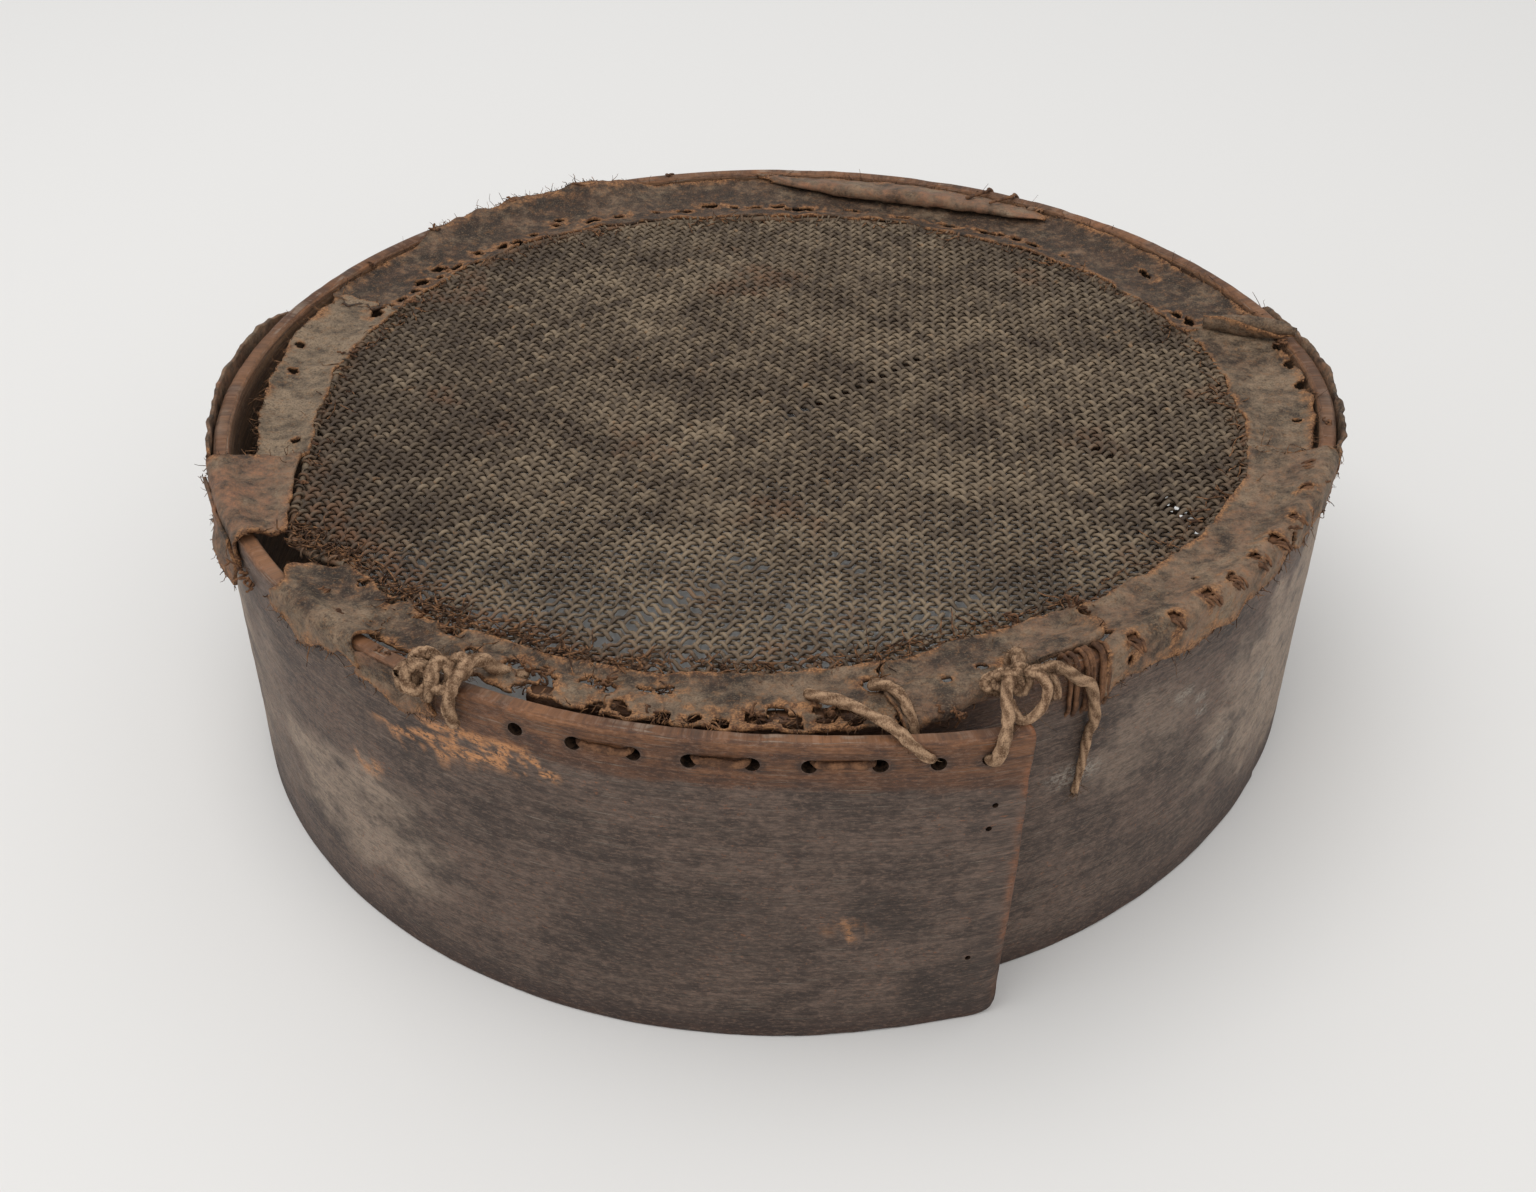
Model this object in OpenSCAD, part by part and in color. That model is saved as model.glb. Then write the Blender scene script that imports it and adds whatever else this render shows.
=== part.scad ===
// Tamis drum sieve: a bentwood hoop with a woven hide net across its top.
// The origin is the middle of the foot circle, +Z is up, and -Y is the side with the lapped ends.
// Angles are measured about the drum's axis, from +X, anticlockwise seen from above.

/* [Hoop] */
// Outer diameter of the bent board
hoop_d = 480; // [420:1:560]
// Height of the board
hoop_h = 145; // [110:1:180]
// Thickness of the board
wall = 7; // [5:0.5:9]
// Rounding of the top edge
edge_r = 2.5; // [1:0.1:2.5]
// Free space between the lapped ends of the board
lap_gap = 11; // [8:0.5:16]
// Slope of the hidden inner end's top edge, in degrees
tail_slope = 2.6; // [0.5:0.1:3]
// Angle where the board starts to step inwards
step_start = 10; // [0:1:20]
// Angle where the step inwards is finished
step_end = -58; // [-66:1:-50]
// Angle of the hidden inner end
tail_end = -113; // [-120:1:-108]
// Angle of the outer end
outer_end = -71; // [-74:1:-69]
// Angle where the outer end starts to spring away
flare_start = -95; // [-105:1:-90]
// How far the outer end has sprung away
flare_lift = 6; // [1:0.5:10]
// Rounding of the lower corner of the outer end
corner_r = 8; // [4:1:15]

/* [Net] */
// Width of the hide band between the net and the hoop's outside
band_w = 47; // [42:1:60]
// Depth of the net below the hoop's top
net_drop = 6; // [4:0.5:12]
// Spacing of the net's strips
strip_pitch = 20; // [20:0.5:30]
// Width of a strip
strip_w = 11; // [5:0.5:14]
// Thickness of a strip
strip_t = 1.5; // [1:0.1:2.2]
// Direction of the warp
net_angle = 42; // [30:1:60]
// Thickness of the cord round the net's edge
edge_cord_d = 3.2; // [2.5:0.1:4]

/* [Hide] */
// Thickness of the hide
hide_t = 1.6; // [1:0.1:2.5]
// Height of the skirt that hangs outside the hoop
skirt_h = 15; // [8:1:24]
// Width of the torn strip that is missing beside the hoop, on the left
tear_w = 7; // [3:1:12]
// How ragged the torn edges are
rag_size = 4; // [0:0.5:6]
// How much deeper the front left skirt hangs at its lowest
skirt_extra = 10; // [0:1:14]
// Sag of the hide between the net and the hoop
hide_sag = 1.5; // [0:0.1:2.5]
// Depth of the back band's outer edge below the hoop's top
back_drop = 4; // [2:0.5:8]
// Thickest part of the curled roll at the back
roll_d = 11; // [6:0.5:14]
// Thickness of the twisted fold on the right
fold_d = 9; // [5:0.5:12]

/* [Lacing] */
// Diameter of the lacing holes
hole_d = 5.5; // [5:0.1:7]
// Depth of the lacing holes below the hoop's top
hole_drop = 9.5; // [8:0.5:14]
// Thickness of the tie cords
cord_d = 4.4; // [3.5:0.1:4.8]
// Thickness of the lacing thongs
thong_d = 3.2; // [2:0.1:4]
// Radius of the loops in the tie knots, to the middle of the cord
knot_r = 6.5; // [5:0.5:9]
// Number of loops in each tie knot
knot_loops = 3; // [2:1:5]
// Thickness of the whipping thread
whip_d = 2.2; // [1.5:0.1:2.6]
// Number of loops in the whipping
whip_loops = 6; // [3:1:8]
// Height of the whipping's loops
whip_h = 24; // [16:1:34]
// Length of the rim stitches on the right
stitch_len = 10; // [6:0.5:14]
// Thickness of the rim stitches
stitch_d = 1.8; // [1:0.1:2.5]

/* [Clearances] */
// Gap between pieces that lie on each other
seat_gap = 0.3; // [0.1:0.05:0.5]
// Gap between strips where they cross
weave_gap = 0.15; // [0.05:0.05:0.4]
// Gap between neighbouring loops of a cord
loop_gap = 0.6; // [0.45:0.05:1]

/* [Hidden] */
$fn = 180;

WOOD = [0.31, 0.24, 0.19];
GUT = [0.36, 0.30, 0.24];
HIDE = [0.42, 0.35, 0.29];
HIDE_WORN = [0.50, 0.36, 0.24];
CORD = [0.50, 0.40, 0.31];

hoop_r = hoop_d / 2;
tail_r = hoop_r - wall - lap_gap;
net_d = hoop_d - 2 * band_w;
net_r = net_d / 2;
net_z = hoop_h - net_drop;

// The board steps inwards along two arcs of equal offset, tangent to each other and to both circles.
step_k = 1 - cos(step_start - step_end);
step_bend = (hoop_r - tail_r) * (4 + sqrt(16 - 8 * step_k)) / (4 * step_k);
step_mid = (step_start + step_end) / 2;

// The outer end leaves the circle along one flatter arc.
flare_turn = outer_end - flare_start;
flare_bend = flare_lift / (1 - cos(flare_turn));
flare_r = hoop_r + flare_bend;
flare_sweep = flare_turn - asin(flare_bend * sin(flare_turn) / flare_r);

function unit(a) = [cos(a), sin(a)];
function polar(r, a, z) = [r * cos(a), r * sin(a), z];

// Radius of the outer end's face at an angle
function face_r(a) = a <= flare_start ? hoop_r
    : sqrt(pow(flare_r, 2) - pow(flare_bend * sin(a - flare_start), 2))
        - flare_bend * cos(a - flare_start);
// Radius of the board's outer face from the round part to the hidden end
function step_r(a) = a >= step_start ? hoop_r
    : a >= step_mid ? step_bend * cos(step_start - a)
        + sqrt(pow(hoop_r - step_bend, 2) - pow(step_bend * sin(step_start - a), 2))
    : a >= step_end ? sqrt(pow(tail_r + step_bend, 2) - pow(step_bend * sin(a - step_end), 2))
        - step_bend * cos(a - step_end)
    : tail_r;
// Height of the hidden end's sloping top edge
function tail_top(a) = a >= step_end ? hoop_h
    : hoop_h - tail_r * sin(step_end - a) * tan(tail_slope);

// Arcs of the board, from the hidden end to the outer end: centre, radius, first and last angle
TAIL = [[0, 0], tail_r, tail_end, step_end];
STEP_IN = [-step_bend * unit(step_end), tail_r + step_bend, step_end, step_mid];
STEP_OUT = [step_bend * unit(step_start), hoop_r - step_bend, step_mid, step_start];
ROUND = [[0, 0], hoop_r, step_start, 360 + flare_start];
FLARE = [-flare_bend * unit(flare_start), flare_r, flare_start, flare_start + flare_sweep];

// Every second arc laps its neighbours by a hair and stands as little proud, so the board is one solid.
lap_turn = 0.3;
proud = 0.05;

// Section of the board, drawn with x = 0 on its outer face: square foot, rounded top edge
module board_section(grow) {
    translate([-wall - grow, 0])
        square([wall + 2 * grow, hoop_h - edge_r + grow]);
    translate([edge_r - wall, 0])
        square([wall - 2 * edge_r, hoop_h + grow]);
    for (x = [edge_r - wall, -edge_r])
        translate([x, hoop_h - edge_r])
            circle(r = edge_r + grow, $fn = 48);
}

// One length of the board, bent to an arc
module bent(arc, lap, grow) {
    translate([arc[0].x, arc[0].y, 0])
        rotate([0, 0, arc[2] - lap])
            rotate_extrude(angle = arc[3] - arc[2] + 2 * lap)
                translate([arc[1], 0])
                    board_section(grow);
}

// Angles of the lacing holes along the outer end, as they were bored by eye
HOLES = [-111.5, -106.5, -101.5, -97, -92, -87.5, -82, -77.5, -73.5];
hole_z = hoop_h - hole_drop;
bore_slack = 2;

module lacing_holes() {
    for (a = HOLES)
        rotate([0, 0, a])
            translate([face_r(a) - wall - bore_slack, 0, hole_z])
                rotate([0, 90, 0])
                    cylinder(d = hole_d, h = wall + 2 * bore_slack, $fn = 48);
}

// The whipping goes round the hidden end's top edge and through one slot below it.
whip_at = -61;
whip_pitch = whip_d + loop_gap;
whip_half_w = wall / 2 + seat_gap + whip_d / 2;
whip_half_h = whip_h / 2 - whip_half_w;
whip_mid_z = tail_top(whip_at) - edge_r - whip_half_h;

module whip_slot() {
    slot_l = whip_pitch * whip_loops + 3 * whip_d;
    slot_h = whip_d + whip_half_w - whip_half_w * sqrt(1 - pow(wall / 2 / whip_half_w, 2)) + 2 * seat_gap;
    rotate([0, 0, whip_at])
        translate([tail_r - wall - bore_slack, -slot_l / 2,
            whip_mid_z - whip_h / 2 - whip_d / 2 - seat_gap])
            cube([wall + 2 * bore_slack, slot_l, slot_h]);
}

// Waste that leaves the lower corner of the outer end round
module corner_waste() {
    translate([FLARE[0].x, FLARE[0].y, 0])
        rotate([0, 0, FLARE[3]])
            translate([flare_r + wall, 0, 0])
                rotate([0, -90, 0])
                    linear_extrude(3 * wall)
                        difference() {
                            translate([-1, -corner_r])
                                square([corner_r + 1, corner_r + 1]);
                            translate([corner_r, -corner_r])
                                circle(r = corner_r, $fn = 96);
                        }
}

// Waste above the hidden end, under a plane that falls away from where the step ends
module slope_waste() {
    rotate([0, 0, step_end])
        translate([tail_r - 2 * wall, 0, hoop_h])
            rotate([tail_slope, 0, 0])
                translate([-hoop_r, -2 * tail_r, 0])
                    cube([hoop_r + 3 * wall, 2 * tail_r, hoop_h]);
}

module hoop() {
    color(WOOD)
        difference() {
            union() {
                difference() {
                    bent(TAIL, 0, 0);
                    slope_waste();
                }
                bent(STEP_IN, lap_turn, proud);
                bent(STEP_OUT, 0, 0);
                bent(ROUND, lap_turn, proud);
                bent(FLARE, 0, 0);
            }
            lacing_holes();
            whip_slot();
            corner_waste();
        }
}

// The net: two sets of strips, each passing over and under the other.
strip_half = floor(net_r / strip_pitch);
strip_n = 2 * strip_half + 1;
strip_amp = (strip_t + weave_gap) / 2;
strip_flat = strip_w / 2 + seat_gap;
echo(net_gaps = len([for (i = [0 : strip_n - 2], j = [0 : strip_n - 2])
    if (norm([i + 0.5 - strip_half, j + 0.5 - strip_half]) * strip_pitch < net_r) 1]));

function strip_side(sign, half) = [for (i = [-1 : strip_n])
    for (end = [-strip_flat, strip_flat])
        [(i - strip_half) * strip_pitch + end, sign * (i % 2 == 0 ? strip_amp : -strip_amp) + half]];
function reversed(list) = [for (i = [len(list) - 1 : -1 : 0]) list[i]];

// One strip along X, whose first crossing is over or under
module strip(sign) {
    translate([0, strip_w / 2, net_z])
        rotate([90, 0, 0])
            linear_extrude(strip_w)
                polygon(concat(strip_side(sign, -strip_t / 2), reversed(strip_side(sign, strip_t / 2))));
}

module strips(turn, over) {
    color(GUT)
        intersection() {
            rotate([0, 0, turn])
                for (j = [0 : strip_n - 1])
                    translate([0, (j - strip_half) * strip_pitch, 0])
                        strip(j % 2 == 0 ? over : -over);
            translate([0, 0, net_z - strip_pitch])
                cylinder(r = net_r - seat_gap, h = 2 * strip_pitch);
        }
}

module net_warp() { strips(net_angle, 1); }
module net_weft() { strips(net_angle + 90, -1); }

module net_edge_cord() {
    color(GUT)
        rotate_extrude()
            translate([net_r + edge_cord_d / 2, net_z])
                circle(d = edge_cord_d, $fn = 32);
}

// The hide lies with its middle surface this far off the wood.
hide_lift = seat_gap + hide_t / 2;
web_r = net_r + edge_cord_d + seat_gap;
inside_r = hoop_r - wall - proud - seat_gap;
web_side_z = hoop_h - back_drop;

// Raggedness of a torn edge at an angle, from 0 to size
function rag(a, size) = size * (2 + sin(23 * a) + sin(41 * a + 60)) / 4;
function web_edge(a) = web_r + rag(a, rag_size / 4);

// Height of a band's middle surface between the edge cord and an outer radius and height
function slope_z(r, r1, z1) =
    let (t = (r - web_r) / (r1 - web_r))
        net_z + t * (z1 - net_z) - hide_sag * sin(180 * t);
// Middle surface of a band from the edge cord to a radius, in even steps
function web_section(a, reach, r1, z1, steps = 3) = [for (k = [0 : steps])
    let (r = web_edge(a) + (reach - web_edge(a)) * k / steps)
        [r, slope_z(r, r1, z1)]];
// Middle surface from the board's inner face over its top edge and down outside
function fold_section(face, skirt) =
    let (round = (edge_r + hide_lift) / sqrt(2))
        [[face - wall, hoop_h + hide_lift], [face - edge_r, hoop_h + hide_lift],
            [face - edge_r + round, hoop_h - edge_r + round], [face + hide_lift, hoop_h - edge_r],
            [face + hide_lift, hoop_h - skirt]];
function folded_section(a, face, skirt) =
    let (start = web_edge(a), end = face - wall, mid = (start + end) / 2)
        concat([[start, net_z], [mid, slope_z(mid, end, hoop_h + hide_lift)]], fold_section(face, skirt));

// A sheet of hide whose middle surface is a line of [radius, height] at each angle
module sheet(first, last, rows, section) {
    mids = [for (i = [0 : rows]) section(first + (last - first) * i / rows)];
    n = len(mids[0]);
    all = (rows + 1) * n;
    points = [for (side = [1, -1], i = [0 : rows], k = [0 : n - 1])
        let (a = first + (last - first) * i / rows, m = mids[i],
            d = m[min(k + 1, n - 1)] - m[max(k - 1, 0)],
            p = m[k] + side * hide_t / 2 * [-d.y, d.x] / norm(d))
            polar(p.x, a, p.y)];
    faces = concat(
        [for (i = [0 : rows - 1], k = [0 : n - 2])
            let (t = i * n + k, b = t + all)
                each [[t, t + n, t + n + 1], [t, t + n + 1, t + 1],
                    [b, b + n + 1, b + n], [b, b + 1, b + n + 1]]],
        [for (i = [0 : rows - 1])
            let (t = i * n, e = t + n - 1)
                each [[t + n, t, t + all], [t + n, t + all, t + all + n],
                    [e, e + n, e + n + all], [e, e + n + all, e + all]]],
        [for (k = [0 : n - 2])
            let (t = k, e = rows * n + k)
                each [[t, t + 1, t + 1 + all], [t, t + 1 + all, t + all],
                    [e + 1, e, e + all], [e + 1, e + all, e + 1 + all]]]);
    polyhedron(points, faces);
}

module hide_band_left() {
    color(HIDE)
        sheet(158, 197, 13, function (a)
            web_section(a, inside_r - tear_w - rag(a, rag_size), inside_r, web_side_z));
}

module hide_band_back() {
    color(HIDE)
        sheet(18, 157.8, 46, function (a) web_section(a, inside_r, inside_r, web_side_z));
}

// Torn free of the hoop's top edge
module hide_band_side() {
    color(HIDE)
        sheet(-13.6, 17.8, 11, function (a)
            web_section(a, step_r(a) - wall - proud - seat_gap - rag(a, rag_size), inside_r, web_side_z));
}

// Still folded over the top edge
module hide_band_right() {
    color(HIDE)
        sheet(-57, -14, 16, function (a)
            folded_section(a, step_r(a) + proud, skirt_h - 2 + rag(a, rag_size)
                + skirt_extra / 2 * max(0, -50 - a) / 7));
}

// The tongue lies over the hidden end. Its corner beside the whipping is torn away.
tear_at = -65;
tear_depth = 8;
function tongue_reach(a) = a > tear_at ? tail_r - wall - tear_depth + rag(a, rag_size / 2)
    : tail_r + seat_gap;
function tongue_z(r, a) =
    let (seat = tail_r - wall - hide_t, top = tail_top(a) + hide_lift)
        net_z + min(1, (r - web_r) / (seat - web_r)) * (top - net_z);
module hide_tongue_right() {
    color(HIDE)
        sheet(-79.8, -57.3, 10, function (a) [for (k = [0 : 4])
            let (r = web_edge(a) + (tongue_reach(a) - web_edge(a)) * k / 4)
                [r, tongue_z(r, a)]]);
}

// The front band reaches to the outer end, above the hidden one.
front_end = -80;
front_z = tail_top(front_end) + hide_lift;
module hide_band_front() {
    color(HIDE)
        sheet(strip_start, front_end, 18, function (a)
            let (start = web_edge(a), seat = tail_r - wall - seat_gap, reach = inside_r - rag(a, rag_size / 4))
                [[start, net_z], [(start + seat) / 2, (net_z + front_z) / 2], [seat, front_z],
                    [(seat + reach) / 2, front_z], [reach, front_z]]);
}

// Front left: folded over the top edge, with a skirt that hangs deeper towards the front
wrap_start = -147;
wrap_end = -129;
strip_start = wrap_end + 0.2;
strip_end = -120.5;
wrap_sweep = 26;
function wrap_depth(a) = skirt_h + skirt_extra * (a - wrap_start) / wrap_sweep + rag(a, rag_size / 2);
module hide_wrap_front_left() {
    color(HIDE)
        sheet(wrap_start, wrap_end, 7, function (a) folded_section(a, hoop_r + proud, wrap_depth(a)));
}

// What is left of the skirt below the bare top edge
module hide_strip_front_left() {
    bare = 8;
    color(HIDE_WORN)
        sheet(strip_start, strip_end, 4, function (a) [for (drop = [bare + rag(a, rag_size), wrap_depth(a)])
            [hoop_r + proud + hide_lift, hoop_h - drop]]);
}

module hide_patch_left() {
    color(HIDE_WORN)
        sheet(-162.8, -148.5, 6, function (a)
            folded_section(a, hoop_r + proud, skirt_h + 2 + rag(a, rag_size)));
}

module hide_strip_outer_left() {
    color(HIDE_WORN)
        sheet(157, 196.8, 14, function (a) let (r = hoop_r + proud + hide_lift)
            [[r + 2, hoop_h + rag(a, rag_size)], [r, hoop_h - 3], [r, hoop_h - skirt_h - rag(a, rag_size)]]);
}

module hide_strip_outer_right() {
    color(HIDE_WORN)
        sheet(-13.6, 14, 10, function (a) let (r = step_r(a) + proud + hide_lift)
            [[r + 1, hoop_h + rag(a, rag_size / 2)], [r, hoop_h - 3], [r, hoop_h - skirt_h + rag(a, rag_size)]]);
}

// A round cord swept along points, with one ring of corners at each point
function direction(points, i) =
    let (ahead = points[min(i + 1, len(points) - 1)], behind = points[max(i - 1, 0)])
        (ahead - behind) / norm(ahead - behind);
function square_to(d, seed) =
    let (side = seed - (seed * d) * d)
        side / norm(side);
// The side vector is carried from ring to ring, so that the cord doesn't twist.
function sides_of(points, seed, i = 0) = i >= len(points) ? []
    : let (side = square_to(direction(points, i), seed))
        concat([side], sides_of(points, side, i + 1));

module cord(points, widths, corners = 8) {
    n = len(points);
    sides = sides_of(points, abs(direction(points, 0).z) < 0.9 ? [0, 0, 1] : [1, 0, 0]);
    rings = [for (i = [0 : n - 1], k = [0 : corners - 1])
        let (d = direction(points, i), u = sides[i], turn = 360 * k / corners)
            points[i] + widths[i] / 2 * (cos(turn) * u + sin(turn) * cross(d, u))];
    walls = [for (i = [0 : n - 2], k = [0 : corners - 1])
        let (a = i * corners + k, b = i * corners + (k + 1) % corners)
            each [[a, a + corners, b], [b, a + corners, b + corners]]];
    end = (n - 1) * corners;
    ends = [for (k = [1 : corners - 2]) each [[0, k, k + 1], [end, end + k + 1, end + k]]];
    polyhedron(rings, concat(walls, ends));
}
function same(points, width) = [for (p = points) width];

// The lap is sewn with stitches that go in at one hole and out at the next.
module lap_stitch(first, last) {
    over = thong_d / 2 + seat_gap;
    mid = (first + last) / 2;
    points = [polar(tail_r + over, first, hole_z), polar(face_r(first) - 1, first, hole_z),
        polar(face_r(first) + over, first + 0.8, hole_z), polar(face_r(mid) + over, mid, hole_z),
        polar(face_r(last) + over, last - 0.8, hole_z), polar(face_r(last) - 1, last, hole_z),
        polar(tail_r + over, last, hole_z)];
    cord(points, same(points, thong_d));
}

module lap_stitches() {
    color(CORD)
        for (i = [1, 3, 5])
            lap_stitch(HOLES[i], HOLES[i + 1]);
}

// Places of the rim stitches along the right band, as they were sewn by eye
RIM_STITCHES = [-17, -22, -28, -33, -37, -41.5, -46, -51, -55];
module rim_stitches() {
    lift = hide_lift + stitch_d / 2;
    color(CORD)
        for (a = RIM_STITCHES, k = [-1 : 1]) {
            out = step_r(a) - wall;
            in = out - stitch_len;
            rise = slope_z(out, out, hoop_h) - slope_z(in, out, hoop_h);
            rotate([0, 0, a])
                translate([in, k * (stitch_d + seat_gap), slope_z(in, out, hoop_h + hide_lift) + lift + seat_gap])
                    rotate([0, 90 - atan(rise / stitch_len), 0])
                        cylinder(d = stitch_d, h = stitch_len, $fn = 24);
        }
}

// The curled strip at the back: angles and shares of its full width
ROLL = [[92, 0.35], [87, 0.5], [81, 0.75], [75, 0.95], [69, 1], [63, 0.95], [58, 0.75], [54, 0.5]];
roll_bow = 10;
function roll_point(i) =
    let (d = roll_d * ROLL[i][1], r = inside_r - 2 - roll_d / 2 - roll_bow * sin(180 * i / (len(ROLL) - 1)))
        polar(r, ROLL[i][0], slope_z(r, inside_r, web_side_z) + hide_lift + d / 2 + seat_gap);

module hide_roll_back() {
    color(HIDE_WORN)
        cord([for (i = [0 : len(ROLL) - 1]) roll_point(i)], [for (p = ROLL) roll_d * p[1]]);
}

// Thin thongs that come up beside the roll and go over the hoop
module roll_thongs() {
    off = seat_gap + proud + whip_d / 2;
    color(CORD)
        for (a = [62, 58.5]) {
            points = [polar(hoop_r - wall - off, a, web_side_z + hide_t + 2), polar(hoop_r - wall - off, a, hoop_h - 0.5),
                polar(hoop_r - wall + edge_r, a, hoop_h + off + 0.3), polar(hoop_r - edge_r, a, hoop_h + off + 0.3),
                polar(hoop_r + off + 0.2, a, hoop_h - 0.5), polar(hoop_r + off, a, hoop_h - 8)];
            cord(points, same(points, whip_d));
        }
}

// The twisted fold climbs from the band to the top edge.
module hide_fold_right() {
    points = [for (p = [[web_r + 10, 16, 0.5], [inside_r - 14, 14.5, 0.8], [inside_r - 3, 12.5, 0.8]])
        polar(p[0], p[1], slope_z(p[0], inside_r, web_side_z) + hide_lift + seat_gap + fold_d * p[2] / 2)];
    color(HIDE)
        cord(concat(points, [polar(hoop_r - 3, 10.5, hoop_h + 2 * seat_gap + fold_d * 0.35)]),
            fold_d * [0.5, 0.8, 0.8, 0.6]);
}

// Loops about the Y axis, 24 points each: half circles joined by straight sides of a given half height
function coil(radius, side, pitch, loops) = [for (i = [0 : 24 * loops])
    let (k = i % 24, upper = k < 12, turn = 180 * (upper ? k : k - 12) / 11 + (upper ? 0 : 180))
        [radius * cos(turn), pitch * (i / 24 - loops / 2), radius * sin(turn) + (upper ? side : -side)]];
function ring_coil(radius, pitch, loops) = [for (i = [0 : 24 * loops])
    [radius * cos(15 * i), pitch * (i / 24 - loops / 2), radius * sin(15 * i)]];
function with_ends(points, width) =
    let (n = len(points))
        concat([points[0] - direction(points, 0) * width], points,
            [points[n - 1] + direction(points, n - 1) * width]);
// Least distance between parts of a coil that lie at least half a loop apart, less the cord's width
function self_gap(points, width) = min([for (i = [0 : len(points) - 1])
    for (j = [i + 12 : 1 : len(points) - 1])
        norm(points[i] - points[j])]) - width;

knot_points = with_ends(ring_coil(knot_r, cord_d + loop_gap, knot_loops), cord_d);
knot_out = knot_r + cord_d / 2;
echo(knot_least_gap = self_gap(knot_points, cord_d));
// The left knot lies against the rounded top corner of the hoop, this far out and up from it.
corner_shift = (knot_out + seat_gap + proud + edge_r) / sqrt(2) - edge_r;
// The right knot lies on the tongue's edge, this steeply above it.
knot_lean = 58;

module knot() {
    cord(knot_points, same(knot_points, cord_d), 6);
}

knot_left_at = -118;
module knot_left() {
    color(CORD)
        rotate([0, 0, knot_left_at])
            translate([hoop_r + corner_shift, 0, hoop_h + corner_shift])
                knot();
}

cord_off = seat_gap + proud + cord_d / 2;
rim_cord_z = hoop_h + cord_off;
// A cord that turns over a rounded edge is drawn in by this much.
corner_cut = 0.6;
// Depth of a cord's end in a hole
hole_in = 1;

// Each route is a list of radius, angle and height.
function along(route) = [for (p = route) polar(p[0], p[1], p[2])];
// Height of a cord that lies on the tongue
function on_tongue(r, a) = tongue_z(r, a) + hide_t / 2 + seat_gap + cord_d / 2;

// From the front band over the top edge and along the face into the first hole
module tie_cord_left() {
    a = -114;
    hole = HOLES[0];
    route = [[inside_r - 12, a, front_z + hide_lift + cord_off], [inside_r - 3, a, rim_cord_z - 1],
        [hoop_r - edge_r - 1, a, rim_cord_z], [hoop_r + cord_off - corner_cut, a, hoop_h + 1],
        [hoop_r + cord_off, a, hoop_h - 5], [hoop_r + cord_off, a + 1, hole_z],
        [hoop_r + cord_off, hole - 0.5, hole_z], [hoop_r - hole_in, hole, hole_z], [hoop_r - wall, hole, hole_z]];
    color(CORD)
        cord(along(route), same(route, cord_d));
}

// From the eighth hole up the outer end and across the front band
module diagonal_cord() {
    a = HOLES[7];
    face = face_r(a);
    band = front_z + hide_lift + cord_off;
    route = [[face - wall, a, hole_z], [face - hole_in, a, hole_z], [face + cord_off, a - 1, hole_z + 4],
        [face_r(a - 3) + cord_off - corner_cut, a - 3, hoop_h + 1], [face_r(a - 4) - edge_r, a - 4, rim_cord_z],
        [inside_r - 4, a - 5.5, rim_cord_z - corner_cut], [tail_r - 1, a - 7.5, band + 1],
        [tail_r - wall - 2, a - 10, band]];
    color(CORD)
        cord(along(route), same(route, cord_d));
}

// A short cord that comes over the tongue and goes down between the lapped ends
module short_cord() {
    a = -78.6;
    top = on_tongue(tail_r, a);
    inner = inside_r - cord_d / 2;
    route = [[tail_r - wall - 2, a - 0.6, on_tongue(tail_r - wall - 2, a)], [tail_r - 2, a - 0.4, top],
        [tail_r + 4, a - 0.1, top - 2], [inner - 1, a, top - 6], [inner, a, top - 14]];
    color(CORD)
        cord(along(route), same(route, cord_d));
}

// The right knot lies on the edge of the tongue, in the mouth of the lap.
knot_right_at = -69.5;
knot_right_r = tail_r + seat_gap + (knot_out + seat_gap) * cos(knot_lean);
knot_right_z = tail_top(knot_right_at) + 2 * hide_lift + (knot_out + seat_gap) * sin(knot_lean);
// Angle between the middle of the knot and a cord beside it
beside_knot = (knot_loops * (cord_d + loop_gap) / 2 + cord_d + 2 * seat_gap) / knot_right_r * 180 / PI;
module knot_right() {
    color(CORD)
        rotate([0, 0, knot_right_at])
            translate([knot_right_r, 0, knot_right_z])
                knot();
}

// From the last hole up the outer end and over it, to the side of the knot
module tie_strand_right() {
    a = HOLES[8];
    face = face_r(a);
    route = [[face - wall, a, hole_z], [face - hole_in, a, hole_z], [face + cord_off, a, hole_z + 4],
        [face + cord_off - corner_cut, a, hoop_h + 1], [face - edge_r - 1, a, rim_cord_z],
        [face - wall, a, rim_cord_z + 1], [knot_right_r, knot_right_at - beside_knot, knot_right_z]];
    color(CORD)
        cord(along(route), same(route, cord_d));
}

// From the knot inwards over the tongue
module tie_loop_right() {
    a = knot_right_at;
    start = knot_right_r - knot_out - seat_gap;
    route = concat([[start, a, knot_right_z - 3]],
        [for (r = [start - 3, tail_r - wall - 1, tail_r - wall - 10]) [r, a, on_tongue(r, a)]]);
    color(CORD)
        cord(along(route), same(route, cord_d));
}

// The frayed tail leaves the knot, crosses the whipping and hangs down along the hidden end.
tail_hang = [0.9, 0.7, 0.4];
module tie_tail_right() {
    a = knot_right_at + beside_knot;
    over = tail_r + seat_gap + whip_d + cord_off;
    route = [[knot_right_r, a, knot_right_z], [over + 1.5, a + 1.5, knot_right_z - 3], [over, -63, tail_top(-63) - 2],
        [over, -61.5, whip_mid_z + 2], [over, -60.6, whip_mid_z - whip_h / 2 - whip_d],
        [tail_r + cord_off, -60.5, whip_mid_z - whip_h / 2 - 10], [tail_r + cord_off, -60.8, hole_z - 38],
        [tail_r + cord_off, -61.2, hole_z - 50]];
    widths = [for (i = [0 : len(route) - 1]) cord_d * (i < 5 ? 1 : tail_hang[i - 5])];
    color(CORD)
        cord(along(route), widths);
}

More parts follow.
